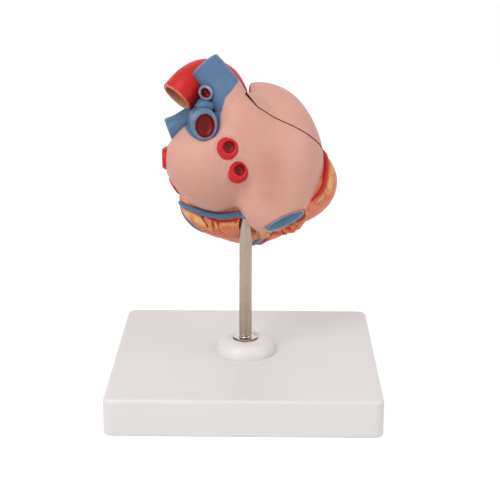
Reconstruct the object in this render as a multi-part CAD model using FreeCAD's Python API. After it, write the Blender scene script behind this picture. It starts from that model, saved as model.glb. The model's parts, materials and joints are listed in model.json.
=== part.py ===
import FreeCAD, Part

import math
import os

# Two-part human heart model for the classroom, on a square stand.
# The back half sits on a steel rod by a turning sleeve and lifts off it.
# The front wall pulls off the back half and opens the four chambers.
# Millimetres, +Z up, origin at the centre of the base's underside.
# The heart's back (posterior) faces -Y, its left side faces -X.

Vector = FreeCAD.Vector
UP = Vector(0, 0, 1)

# ---------------------------------------------------------------- stand
BASE_WIDTH = 125.0
BASE_TOP = 17.5
BASE_WALL = 2.5
BASE_CORNER_RADIUS = 4.5
BASE_TOP_RADIUS = 2.2
RIM_LIFT = 0.2            # the tray's rim stands this far above the table
RIB_THICKNESS = 1.8
RIB_DEPTH = 7.0
FOOT_RADIUS = 6.0
FOOT_HEIGHT = 3.0
FOOT_INSET = 52.0         # feet are this far from the centre in X and in Y
FOOT_ROUND = 0.6
BOSS_RADIUS = 5.0         # boss over each foot
INNER_CORNER_RADIUS = 2.5
RIB_CLEAR_RADIUS = 12.0   # the ribs stop short of the washer

ROD_RADIUS = 3.0
ROD_BOTTOM = 4.0
ROD_TOP = 105.8
ROD_HOLE_RADIUS = 3.1
ROD_CHAMFER = 0.5
COLLAR_FOOT_RADIUS = 14.0
COLLAR_TOP_RADIUS = 9.0
COLLAR_HEIGHT = 7.0
COLLAR_STEP = 1.6         # the upright wall at the collar's foot
COLLAR_SHOULDER = 2.0     # how far below the top the shoulder's middle lies
COLLAR_BULGE = 0.9
COLLAR_RECESS_RADIUS = 6.0
COLLAR_RECESS_DEPTH = 4.4
NUT_ACROSS_FLATS = 10.0
NUT_HEIGHT = 5.0
NUT_CHAMFER = 0.6
NUT_FACE_RADIUS = 4.9     # the round edge that the chamfer leaves on each face
NUT_CHAMFER_REACH = 1.8   # the chamfer's cone widens this much over its height
WASHER_RADIUS = 9.0
WASHER_THICKNESS = 1.5

# ------------------------------------------------- sleeve on the rod's end
# The sleeve stays in the heart: it lifts off the rod with it, and the heart turns on it.
SLEEVE_BOTTOM = 91.0
SLEEVE_TOP = 108.0
SLEEVE_BORE_RADIUS = 3.05
SLEEVE_END_PLAY = 0.05
SLEEVE_RADIUS = 4.5
SOCKET_BORE_RADIUS = 4.55
SOCKET_RADIUS = 5.6
SOCKET_ROOF = 2.2
ROD_SLOT_RADIUS = 3.3     # room round the rod where it passes the muscle
ROD_SLOT_BOTTOM = 55.0

# ------------------------------------------------------- heart, general
BLEND = 3.2               # how sharply lobes melt together: more is sharper
ATRIAL_WALL = 2.4
PARTING_GAP = 0.35        # between the back half and the front wall
RING_SPOKES = 16          # corners of a vessel's control ring
CUT_LENGTH = 400.0        # size of the blocks that cut the halves apart


def unit(vector):
    """The same direction, one long."""
    return vector * (1.0 / vector.Length)


def axes_along(first, second=Vector(0, 1, 0)):
    """Three square unit axes, the first of them along a direction."""
    first = unit(first)
    second = unit(second - first * first.dot(second))
    return (first, second, first.cross(second))


LEVEL = axes_along(Vector(1, 0, 0))
SEPTAL_LEAN = axes_along(Vector(-0.42, 0.0, 0.907))   # line of the two caval veins
CAVAL = axes_along(Vector(0.45, -0.3, -0.84))         # down the lower caval vein
LONG_AXIS = Vector(-0.16, 0.70, -0.70)                # from valves to apex
LONG = axes_along(LONG_AXIS)
VALVE_AXIS = unit(Vector(0, 0.64, -0.77))             # through both inlet valves

# A lobe is (centre, half lengths, axes). Lobes melt together into one surface.
ATRIAL_LOBES = [
    (Vector(-17.6, -5.9, 113.3), (19.1, 17.6, 19.1), LEVEL),        # left atrium
    (Vector(-13.9, -2.7, 103.5), (15.0, 12.8, 14.5), LEVEL),        # its lower part
    (Vector(-6.0, -5.0, 120.0), (14.0, 13.0, 16.0), LEVEL),         # between the veins
    (Vector(4.7, -6.0, 118.1), (30.9, 13.5, 13.8), SEPTAL_LEAN),    # caval column
    (Vector(19.0, 2.6, 111.3), (17.0, 20.5, 24.3), LEVEL),          # right atrium
    (Vector(14.8, -4.7, 102.2), (14.8, 13.0, 15.1), CAVAL),         # its lower part
    (Vector(11.4, -8.4, 94.2), (16.1, 12.0, 14.0), CAVAL),          # lower caval mouth
]
AURICLE_LOBE = (Vector(6.2, 12.4, 123.9), (23.0, 19.6, 22.5), LEVEL)
VENTRICLE_LOBES = [
    (Vector(-0.6, 24.8, 89.1), (31.8, 20.0, 28.9), LONG),           # main muscle
    (Vector(-8.3, 11.0, 91.4), (23.2, 14.9, 19.5), LEVEL),          # left, behind
    (Vector(4.6, 14.3, 92.6), (17.1, 18.0, 17.8), LEVEL),           # middle
    (Vector(17.0, 13.1, 98.9), (26.2, 26.9, 20.1), LEVEL),          # right bulge
    (Vector(0.0, 30.0, 108.0), (19.0, 16.0, 19.0), LEVEL),          # outflow cone
]
LEFT_CHAMBER = [
    (Vector(-11.0, 20.0, 87.0), (24.0, 10.5, 11.5), LONG),
    (Vector(-7.5, 17.0, 102.0), (14.0, 6.2, 6.2), axes_along(Vector(0.2, 0.25, 0.95))),
]
RIGHT_CHAMBER = [
    (Vector(20.0, 24.0, 96.0), (16.0, 13.5, 14.0), LEVEL),
    (Vector(8.0, 33.0, 108.0), (11.0, 8.0, 12.0), LEVEL),
    (Vector(2.0, 35.5, 112.0), (8.5, 7.0, 11.0), LEVEL),
]
LEFT_AURICLE = [
    (Vector(-27.0, 9.0, 112.0), (7.5, 11.0, 8.0), LEVEL),
    (Vector(-22.5, 17.0, 111.0), (7.0, 7.0, 6.0), LEVEL),
]
ATRIAL_HEART = Vector(4, -1, 111)       # every atrial ray starts here
VENTRICLE_HEART = Vector(2, 19, 93)
CAVAL_POLES = Vector(0.45, -0.05, -0.88)
RIGHT_CHAMBER_POLES = Vector(-0.35, 0.1, 0.9)

# ------------------------------------------------------ parting planes
# A plane is (normal, level): the front side is where normal . point > level.
ROOF_PLANE = (Vector(0.414, 0.414, 0.811), 110.16)      # across the right atrium
CREST_PLANE = (Vector(0.745, 0.106, 0.657), 93.96)      # beside the aorta, on top
WALL_PLANE = (Vector(0.0, 0.914, 0.406), 54.5)          # down through both ventricles
AORTA_PLANE = (Vector(0.957, 0.0, 0.29), 41.6)          # right side of the aorta
SHELF_PLANE = (Vector(0.0, 0.30, -0.954), -93.2)        # under the aortic root
APRON_PLANE = (Vector(0.0, 1.0, 0.0), 29.5)             # in front of the aortic root
TRUNK_PLANE = (Vector(0.0, 0.30, -0.954), -105.5)       # foot of the pulmonary trunk
SEPTAL_PLANE = (Vector(0.907, 0.0, 0.42), 43.0)         # between the two atria
LEFT_ATRIUM_FLAT = 11.4                                 # its front is flat beside the aortic root
VENTRICULAR_SEPTUM = (Vector(0.93, -0.20, 0.31), 26.3)  # middle of the muscle septum
SEPTUM_HALF = 2.4
ATRIAL_SEPTUM_HALF = 1.1
AURICLE_EDGE = 40.5                                     # auricle starts here ...
AURICLE_RAMP = 4.0                                      # ... and is full this far on
PULL_DIRECTION = unit(Vector(0.20, 0.96, 0.20))

# ------------------------------------------------------- great vessels
AORTA_PATH = [
    Vector(-5.0, 20.0, 109.0), Vector(-5.5, 20.0, 121.0), Vector(-6.5, 19.5, 131.0),
    Vector(-7.4, 18.0, 138.7), Vector(-11.6, 13.6, 146.6), Vector(-19.0, 8.0, 149.8),
    Vector(-25.6, 3.0, 147.6), Vector(-31.9, -1.0, 141.3),
]
AORTA_RADIUS = 8.25
AORTA_WALL = 1.6
UPPER_CAVA_PATH = [
    Vector(-3.5, -6.5, 133.0), Vector(-7.9, -4.5, 141.7), Vector(-12.3, -2.6, 148.9),
    Vector(-19.2, 0.0, 156.5),
]
UPPER_CAVA_RADII = [9.6, 8.6, 7.7, 7.5]
CAVA_WALL = 1.3
CAVA_BORE_BELOW = 4.0     # its bore starts this far below its root ...
CAVA_BORE_PAST = 3.0      # ... and runs on past its end
AZYGOS_PATH = [Vector(-14.8, -2.5, 146.6), Vector(-16.6, -6.0, 145.9), Vector(-18.3, -10.4, 145.1)]
AZYGOS_RADIUS = 3.6
AZYGOS_WALL = 1.4
AZYGOS_BORE_PAST = 0.5
LOWER_CAVA_MOUTH = Vector(18.4, -8.0, 84.7)
LOWER_CAVA_AXIS = unit(Vector(0.44, -0.44, -0.78))
LOWER_CAVA_BORE = 10.2
LOWER_CAVA_LINER = 1.0
LOWER_CAVA_DEPTH = 11.0
CAVA_MOUTH_PAST = 2.0     # the passage is cut on past the mouth
CAVA_WAY_IN = 20.0        # nothing lies this far in front of the lower caval mouth
TRUNK_PATH = [
    Vector(-1.0, 37.0, 113.0), Vector(-2.5, 37.0, 119.0), Vector(-9.0, 36.0, 126.5),
    Vector(-18.0, 31.0, 129.5), Vector(-23.0, 21.0, 130.5), Vector(-22.5, 10.0, 131.0),
]
TRUNK_RADIUS = 6.8
RIGHT_BRANCH_PATH = [
    Vector(-22.0, 12.0, 131.0), Vector(-24.2, 0.0, 131.0), Vector(-23.0, -11.0, 131.4),
    Vector(-18.3, -20.0, 132.8),
]
RIGHT_BRANCH_RADIUS = 7.3
LEFT_BRANCH_PATH = [Vector(-20.5, 6.0, 133.0), Vector(-28.0, 1.5, 130.0), Vector(-35.8, -3.0, 126.6)]
LEFT_BRANCH_RADIUS = 5.6
BRANCH_WALL = 2.0
BRANCH_BORE_PAST = 1.5    # a lung artery's bore runs on past both of its ends

# Each lung vein is (root in the wall, direction out).
LUNG_VEINS = {
    "right_upper_lung_vein": (Vector(-8.2, -19.0, 121.4), Vector(0.16, -0.95, 0.26)),
    "right_lower_lung_vein": (Vector(-3.8, -18.0, 111.2), Vector(0.22, -0.94, 0.20)),
    "left_upper_lung_vein": (Vector(-36.2, -4.4, 113.8), Vector(-0.98, -0.10, 0.0)),
    "left_lower_lung_vein": (Vector(-31.4, -4.9, 101.9), Vector(-0.83, -0.05, -0.52)),
}
LUNG_VEIN_RADII = [6.0, 5.6, 4.9]
LUNG_VEIN_BORE = 2.6
LUNG_VEIN_SUNK = 3.0
LUNG_VEIN_PROUD = 2.6

# -------------------------------------------------- valves and muscles
MITRAL_CENTRE = Vector(-13.5, 6.0, 93.0)
MITRAL_RADIUS = 7.6
TRICUSPID_CENTRE = Vector(19.0, 17.0, 94.0)
TRICUSPID_RADIUS = 9.0
INLET_ABOVE = 6.0             # an inlet hole's cut starts this far above its centre ...
INLET_BELOW = 8.0             # ... and ends this far below it
LEAFLET_LENGTH = 8.5
LEAFLET_THICKNESS = 0.9
LEAFLET_TAPER = 0.68
LEAFLET_WAIST = 0.93          # share of the radius at the hinge line
LEAFLET_ROOT = 2.0            # the hinge line is this far from the hole's centre
ARTERY_VALVE_THICKNESS = 1.2
ARTERY_VALVE_SLIT = 0.5       # width of the three slits between the leaflets
ARTERY_VALVE_REACH = 0.9      # share of the radius that a slit runs
AORTIC_VALVE_PLACE = 0.55     # share of the way along the aorta's first span
PULMONARY_VALVE_PLACE = 0.9   # share of the way along the trunk's second span
PAPILLARY_ROOTS = [
    (Vector(-19.0, 14.5, 78.0), Vector(-16.0, 15.0, 85.5)),
    (Vector(-9.0, 12.5, 76.5), Vector(-10.5, 14.5, 84.5)),
    (Vector(25.0, 19.0, 80.0), Vector(22.5, 20.5, 86.0)),
]
PAPILLARY_RADII = [3.4, 2.7, 1.5]
CORD_RADIUS = 0.45
CORD_SPREAD = 35              # degrees between the cords of one muscle
CORD_SUNK = 0.8               # how far a cord starts inside its muscle
PIN_RADIUS = 1.5
PIN_BORE_RADIUS = 1.6
PIN_LENGTH = 9.0
PIN_SUNK = 4.0
PIN_END_PLAY = 0.4            # a pin bore is this much deeper than its pin
PIN_BORE_PAST = 3.0
PIN_SEATS = [Vector(-26.6, 20.0, 89.2), Vector(12.0, 25.9, 75.9)]

# ------------------------- vessels and fat on the outside, as rough guides
# Guides are moved out or in to the heart's skin, so they need not be exact.
CORONARY_GUIDES = {
    "coronary_sinus": (1.65, [
        Vector(-31, 9, 90), Vector(-28, 4.3, 89.3), Vector(-22.5, 0, 88.3),
        Vector(-17.7, -2, 87.1), Vector(-12, -3.3, 86.5), Vector(-7, -4.3, 87.1),
        Vector(-2.8, -5.3, 88.0), Vector(0.3, -6.1, 88.7)]),
    "circumflex_artery": (0.7, [
        Vector(-17.8, -1.4, 84.9), Vector(-14, -2.1, 84.0), Vector(-10.4, -2.7, 83.6),
        Vector(-6, -3.5, 84.2), Vector(-2.4, -4.7, 85.3)]),
    "left_marginal_vein": (0.7, [
        Vector(-31, 11, 87), Vector(-30, 10, 82), Vector(-26.5, 10, 77), Vector(-21, 11, 73)]),
    "middle_cardiac_vein": (1.1, [
        Vector(8, 4, 77), Vector(7, 14, 70.5), Vector(3, 24, 65.5), Vector(0, 32, 62.5)]),
    "descending_back_artery": (0.9, [
        Vector(13, 3, 78.5), Vector(11, 13, 72), Vector(7, 24, 67), Vector(4, 31, 64.5)]),
    "right_coronary_artery": (1.25, [
        Vector(14, 31, 118), Vector(27, 27, 116.5), Vector(34.5, 19.5, 115), Vector(37.2, 12, 112.8),
        Vector(37.2, 6, 110.4), Vector(37, 1, 108), Vector(36.5, -2.8, 105), Vector(35.6, -5.5, 101.3),
        Vector(33.4, -7.4, 98.5), Vector(30, -9.6, 95)]),
    "front_descending_artery": (1.0, [
        Vector(-13, 33, 116), Vector(-14, 41, 106), Vector(-11, 48, 94), Vector(-8, 52, 82),
        Vector(-6, 51, 72)]),
    "great_cardiac_vein": (1.0, [
        Vector(-17, 32, 113), Vector(-17, 39, 104), Vector(-14, 46, 93), Vector(-11, 50, 82),
        Vector(-9, 50, 73)]),
}
FAT_GUIDES = {
    "fat_left_groove": (3.0, [
        Vector(-29, 6, 86), Vector(-25.5, 2, 84.5), Vector(-20, 0, 82.0), Vector(-15, 0.5, 79.5)]),
    "fat_by_rod": (2.6, [Vector(7.0, -1, 79.5), Vector(8.5, 5, 75.5), Vector(9.5, 11, 72)]),
    "fat_under_cava": (2.9, [
        Vector(12, 9, 73.3), Vector(18, 8, 75.5), Vector(23, 4.5, 78.4), Vector(28.5, -0.5, 83.5)]),
    "fat_right_groove": (2.1, [
        Vector(38.5, 14, 111), Vector(39.3, 7, 108.4), Vector(39.1, 1, 104.9),
        Vector(38.2, -2.2, 100.4), Vector(35.8, -5.2, 97), Vector(32.4, -7.3, 93.4)]),
    "fat_front_groove": (2.6, [
        Vector(-9, 37, 113), Vector(-9, 45, 103), Vector(-6, 50, 91), Vector(-3, 52, 80)]),
}

# Radius along a bar or pad as shares of its own, and how deep it lies in the skin.
BAR_TAPER = [0.8, 1.0, 1.0, 0.7]
BAR_SUNK = 0.35
PAD_TAPER = [0.55, 1.0, 1.0, 0.5]
PAD_SUNK = 0.62

# Which pieces each bar or pad may be let into.
SKIN_BACK = ["left_atrium", "right_atrium", "left_ventricle_back", "right_ventricle_back",
             "septum_back", "lower_cava_lining"]
SKIN_FRONT = ["right_auricle", "left_ventricle_front", "right_ventricle_front", "septum_front"]
CROSSING = ["right_coronary_artery", "fat_right_groove"]
FRONT_ONLY = ["front_descending_artery", "great_cardiac_vein", "fat_front_groove"]

CRUMB = 0.02              # a cut's leftover under this share of the largest solid is no piece
PARTS = {}


def keep(name, shape):
    """File one named piece, with stray crumbs of a cut left out."""
    largest = max(solid.Volume for solid in shape.Solids)
    solids = [solid for solid in shape.Solids if solid.Volume > CRUMB * largest]
    shape = solids[0] if len(solids) == 1 else Part.makeCompound(solids)
    PARTS[name] = shape
    return shape


# ------------------------------------------------------- shape helpers
def fullness(point, lobes):
    """Sum of the lobes at a point: the melted surface is where it is one."""
    total = 0.0
    for centre, half, axes in lobes:
        offset = point - centre
        spread = 0.0
        for length, axis in zip(half, axes):
            spread += (offset.dot(axis) / length) ** 2
        total += math.exp(BLEND * (1.0 - spread))
    return total


def auricle_weight(point):
    """Rises from 0 to 1 across the auricle's left edge, beside the aorta."""
    rise = (AORTA_PLANE[0].dot(point) - AURICLE_EDGE) / AURICLE_RAMP
    rise = min(1.0, max(0.0, rise))
    return rise * rise * (3.0 - 2.0 * rise)


def atrial_skin(point):
    """Above one inside the atria, whose auricle stops short of the aorta."""
    auricle = auricle_weight(point) * fullness(point, [AURICLE_LOBE])
    return fullness(point, ATRIAL_LOBES) + auricle


def ventricle_skin(point):
    """Above one inside the ventricles' outer surface."""
    return fullness(point, VENTRICLE_LOBES)


def heart_skin(point):
    """Above one inside the whole heart, whose atria end at the lower caval vein's mouth."""
    if LOWER_CAVA_AXIS.dot(point - LOWER_CAVA_MOUTH) > 0:
        return ventricle_skin(point)
    return max(atrial_skin(point), ventricle_skin(point))


def reach(skin, start, direction, farthest=60.0):
    """Distance from start, along direction, to the outermost skin."""
    distance = farthest
    while distance > 0 and skin(start + direction * distance) < 1.0:
        distance -= 1.0
    inside = distance
    outside = distance + 1.0
    for _ in range(12):
        middle = (inside + outside) / 2.0
        if skin(start + direction * middle) < 1.0:
            outside = middle
        else:
            inside = middle
    return (inside + outside) / 2.0


def grid_solid(rings):
    """A closed solid: one smooth cubic face over rings of control points, with flat ends."""
    along = len(rings)
    around = len(rings[0])
    surface = Part.BSplineSurface()
    surface.buildFromPolesMultsKnots(
        rings,
        [4] + [1] * (along - 4) + [4],
        [1] * (around + 1),
        list(range(along - 2)),
        list(range(around + 1)),
        False, True, 3, 3)
    near_end = Part.Face(Part.Wire([surface.uIso(0).toShape()]))
    far_end = Part.Face(Part.Wire([surface.uIso(along - 3).toShape()]))
    shell = Part.makeShell([surface.toShape(), near_end, far_end])
    shell.sewShape()
    solid = Part.Solid(shell)
    if solid.Volume < 0:
        solid.reverse()
    return solid


def lobed_solid(skin, start, pole, inset=0.0, rings=24, spokes=36, cap_angle=6.0):
    """A solid that fills a skin seen from start, drawn in by inset, between two flat poles."""
    axis, side, other = axes_along(pole, Vector(0, 1, 0.1))
    grid = []
    for row in range(rings):
        polar = math.radians(cap_angle + (180.0 - 2 * cap_angle) * row / (rings - 1))
        ring = []
        for spoke in range(spokes):
            turn = 2 * math.pi * spoke / spokes
            outward = side * math.cos(turn) + other * math.sin(turn)
            direction = axis * math.cos(polar) + outward * math.sin(polar)
            ring.append(start + direction * (reach(skin, start, direction) - inset))
        if row in (0, rings - 1):
            level = sum(point.dot(axis) for point in ring) / spokes
            ring = [point + axis * (level - point.dot(axis)) for point in ring]
        grid.append(ring)
    return grid_solid(grid)


def chamber(lobes, pole):
    """The hollow of one chamber, from its own melted lobes."""
    return lobed_solid(lambda point: fullness(point, lobes), lobes[0][0], pole, 0.0, 16, 20)


def through_points(points, per_span=5):
    """Points on a smooth curve that passes through the given ones."""
    before = points[0] * 2 - points[1]
    after = points[-1] * 2 - points[-2]
    padded = [before] + list(points) + [after]
    line = []
    for index in range(len(points) - 1):
        one, two, three, four = padded[index:index + 4]
        for step in range(per_span):
            t = step / float(per_span)
            line.append((two * 2 + (three - one) * t
                         + (one * 2 - two * 5 + three * 4 - four) * t ** 2
                         + (two * 3 - one - three * 3 + four) * t ** 3) * 0.5)
    line.append(Vector(points[-1]))
    return line


def widths_between(widths, count):
    """Evenly spread values, straight between the given ones."""
    values = []
    for index in range(count):
        place = index * (len(widths) - 1) / float(count - 1)
        low = min(int(place), len(widths) - 2)
        values.append(widths[low] + (widths[low + 1] - widths[low]) * (place - low))
    return values


def tube(points, radii, per_span=5, spokes=RING_SPOKES):
    """A round bar along a smooth curve, its radius changing evenly between those given."""
    line = through_points(points, per_span)
    radii = widths_between(radii, len(line))
    swell = 3.0 / (2.0 + math.cos(2 * math.pi / spokes))
    tangents = []
    for index in range(len(line)):
        ahead = line[min(index + 1, len(line) - 1)]
        behind = line[max(index - 1, 0)]
        tangents.append(unit(ahead - behind))
    references = [Vector(1, 0, 0), Vector(0, 1, 0), Vector(0, 0, 1)]
    reference = min(references, key=lambda axis: max(abs(axis.dot(way)) for way in tangents))
    rings = []
    for centre, way, radius in zip(line, tangents, radii):
        side = unit(reference - way * reference.dot(way))
        other = way.cross(side)
        ring = []
        for spoke in range(spokes):
            turn = 2 * math.pi * spoke / spokes
            outward = side * math.cos(turn) + other * math.sin(turn)
            ring.append(centre + outward * radius * swell)
        rings.append(ring)
    return grid_solid(rings)


def cut_by(shape, tools):
    """What is left of a shape after each of the tools has been cut from it."""
    for tool in tools:
        shape = shape.cut(tool)
    return shape


def bore_of(points, radius, overshoot=3.0):
    """The bar that hollows a vessel: it runs on past both of its ends."""
    first = points[0] - unit(points[1] - points[0]) * overshoot
    last = points[-1] + unit(points[-1] - points[-2]) * overshoot
    return tube([first] + list(points) + [last], [radius, radius])


def rod(start, end, radius):
    """A plain round bar between two points."""
    return Part.makeCylinder(radius, (end - start).Length, start, end - start)


def front_of(plane, gap=0.0):
    """A large block on the front side of a plane."""
    normal = unit(plane[0])
    level = plane[1] / plane[0].Length + gap
    middle = VENTRICLE_HEART
    foot = middle + normal * (level - normal.dot(middle))
    half = CUT_LENGTH / 2
    block = Part.makeBox(CUT_LENGTH, CUT_LENGTH, half, Vector(-half, -half, 0))
    block.Placement = FreeCAD.Placement(foot, FreeCAD.Rotation(UP, normal))
    return block


def auricle_zone(gap):
    """Where the atria belong to the front wall."""
    roof = front_of(ROOF_PLANE, gap).common(front_of(CREST_PLANE, gap))
    wall = front_of(WALL_PLANE, gap)
    return roof.fuse(wall).common(front_of(AORTA_PLANE, gap))


def wall_zone(gap):
    """Where the ventricles belong to the front wall: all but a block round the aortic root."""
    below = front_of(SHELF_PLANE, gap)
    ahead = front_of(APRON_PLANE, gap)
    right = front_of(AORTA_PLANE, gap)
    return front_of(WALL_PLANE, gap).common(below.fuse(ahead).fuse(right))


def settle(guides, radius, sunk):
    """Guides moved along their rays until a bar of that radius lies in the skin."""
    settled = []
    for guide in guides:
        way = unit(guide - VENTRICLE_HEART)
        distance = reach(heart_skin, VENTRICLE_HEART, way)
        settled.append(VENTRICLE_HEART + way * (distance + radius * (1.0 - 2.0 * sunk)))
    return settled


# --------------------------------------------------------------- stand
def base_shell():
    """A moulded tray, open below, with cross ribs and a boss over each foot."""
    half = BASE_WIDTH / 2
    height = BASE_TOP - RIM_LIFT
    block = Part.makeBox(BASE_WIDTH, BASE_WIDTH, height, Vector(-half, -half, RIM_LIFT))
    uprights = [edge for edge in block.Edges if abs(edge.tangentAt(0).z) > 0.9]
    block = block.makeFillet(BASE_CORNER_RADIUS, uprights)
    top_edges = [edge for edge in block.Edges if edge.BoundBox.ZMin > BASE_TOP - 0.01]
    block = block.makeFillet(BASE_TOP_RADIUS, top_edges)
    inner = half - BASE_WALL
    roof = BASE_TOP - BASE_WALL
    hollow = Part.makeBox(2 * inner, 2 * inner, roof, Vector(-inner, -inner, 0))
    uprights = [edge for edge in hollow.Edges if abs(edge.tangentAt(0).z) > 0.9]
    tray = block.cut(hollow.makeFillet(INNER_CORNER_RADIUS, uprights))
    along = Part.makeBox(2 * inner, RIB_THICKNESS, RIB_DEPTH,
                         Vector(-inner, -RIB_THICKNESS / 2, roof - RIB_DEPTH))
    across = along.copy()
    across.rotate(Vector(0, 0, 0), UP, 90)
    ribs = along.fuse(across).cut(Part.makeCylinder(RIB_CLEAR_RADIUS, roof, Vector(0, 0, 0)))
    tray = tray.fuse(ribs)
    for x in (-FOOT_INSET, FOOT_INSET):
        for y in (-FOOT_INSET, FOOT_INSET):
            boss = Part.makeCylinder(BOSS_RADIUS, roof - FOOT_HEIGHT, Vector(x, y, FOOT_HEIGHT))
            tray = tray.fuse(boss)
    return tray.cut(Part.makeCylinder(ROD_HOLE_RADIUS, BASE_TOP, Vector(0, 0, RIM_LIFT)))


def rubber_feet():
    """Four round feet under the corner bosses."""
    feet = []
    for x in (-FOOT_INSET, FOOT_INSET):
        for y in (-FOOT_INSET, FOOT_INSET):
            foot = Part.makeCylinder(FOOT_RADIUS, FOOT_HEIGHT, Vector(x, y, 0))
            feet.append(foot.makeFillet(FOOT_ROUND, [foot.Edges[0], foot.Edges[2]]))
    return Part.makeCompound(feet)


def rod_collar():
    """A moulded boss with a rolled shoulder, holding the nut in a round recess."""
    foot = COLLAR_FOOT_RADIUS
    top = COLLAR_TOP_RADIUS
    low = BASE_TOP
    high = BASE_TOP + COLLAR_HEIGHT
    step = low + COLLAR_STEP
    shoulder = (foot + top) / 2 + COLLAR_BULGE
    outline = [
        Part.makeLine(Vector(0, 0, low), Vector(foot, 0, low)),
        Part.makeLine(Vector(foot, 0, low), Vector(foot, 0, step)),
        Part.Arc(Vector(foot, 0, step), Vector(shoulder, 0, high - COLLAR_SHOULDER),
                 Vector(top, 0, high)).toShape(),
        Part.makeLine(Vector(top, 0, high), Vector(0, 0, high)),
        Part.makeLine(Vector(0, 0, high), Vector(0, 0, low)),
    ]
    solid = Part.Face(Part.Wire(outline)).revolve(Vector(0, 0, 0), UP, 360)
    recess = Part.makeCylinder(COLLAR_RECESS_RADIUS, COLLAR_RECESS_DEPTH + 1,
                               Vector(0, 0, high - COLLAR_RECESS_DEPTH))
    hole = Part.makeCylinder(ROD_HOLE_RADIUS, COLLAR_HEIGHT, Vector(0, 0, low))
    return solid.cut(recess).cut(hole)


def hex_nut(bottom):
    """A plain hexagon nut round the rod, its corners turned off at top and bottom."""
    corner = NUT_ACROSS_FLATS / math.sqrt(3.0)
    points = []
    for index in range(7):
        turn = math.radians(60.0 * index)
        points.append(Vector(corner * math.cos(turn), corner * math.sin(turn), bottom))
    prism = Part.Face(Part.makePolygon(points)).extrude(Vector(0, 0, NUT_HEIGHT))
    chamfer = NUT_CHAMFER
    flat = NUT_FACE_RADIUS
    wide = flat + NUT_CHAMFER_REACH
    lower = Part.makeCone(flat, wide, chamfer, Vector(0, 0, bottom))
    middle = Part.makeCylinder(wide, NUT_HEIGHT - 2 * chamfer, Vector(0, 0, bottom + chamfer))
    upper = Part.makeCone(wide, flat, chamfer, Vector(0, 0, bottom + NUT_HEIGHT - chamfer))
    body = prism.common(lower.fuse(middle).fuse(upper))
    return body.cut(Part.makeCylinder(ROD_RADIUS, NUT_HEIGHT, Vector(0, 0, bottom)))


def washer():
    """The flat washer under the tray's roof."""
    bottom = BASE_TOP - BASE_WALL - WASHER_THICKNESS
    disc = Part.makeCylinder(WASHER_RADIUS, WASHER_THICKNESS, Vector(0, 0, bottom))
    return disc.cut(Part.makeCylinder(ROD_HOLE_RADIUS, WASHER_THICKNESS, Vector(0, 0, bottom)))


def support_rod():
    """The plated steel rod, its ends broken by a small chamfer."""
    bar = Part.makeCylinder(ROD_RADIUS, ROD_TOP - ROD_BOTTOM, Vector(0, 0, ROD_BOTTOM))
    return bar.makeChamfer(ROD_CHAMFER, [bar.Edges[0], bar.Edges[2]])


def rod_sleeve():
    """The turning sleeve: a closed cap that hangs over the rod's end."""
    outer = Part.makeCylinder(SLEEVE_RADIUS, SLEEVE_TOP - SLEEVE_BOTTOM, Vector(0, 0, SLEEVE_BOTTOM))
    bore = Part.makeCylinder(SLEEVE_BORE_RADIUS, ROD_TOP + SLEEVE_END_PLAY - SLEEVE_BOTTOM,
                             Vector(0, 0, SLEEVE_BOTTOM))
    return outer.cut(bore)


def make_stand():
    """Every piece of the stand, and the sleeve."""
    keep("base_shell", base_shell())
    keep("rubber_feet", rubber_feet())
    keep("rod_collar", rod_collar())
    keep("support_rod", support_rod())
    keep("collar_nut", hex_nut(BASE_TOP + COLLAR_HEIGHT - COLLAR_RECESS_DEPTH))
    keep("base_washer", washer())
    keep("base_nut", hex_nut(BASE_TOP - BASE_WALL - WASHER_THICKNESS - NUT_HEIGHT))
    keep("rod_sleeve", rod_sleeve())


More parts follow.
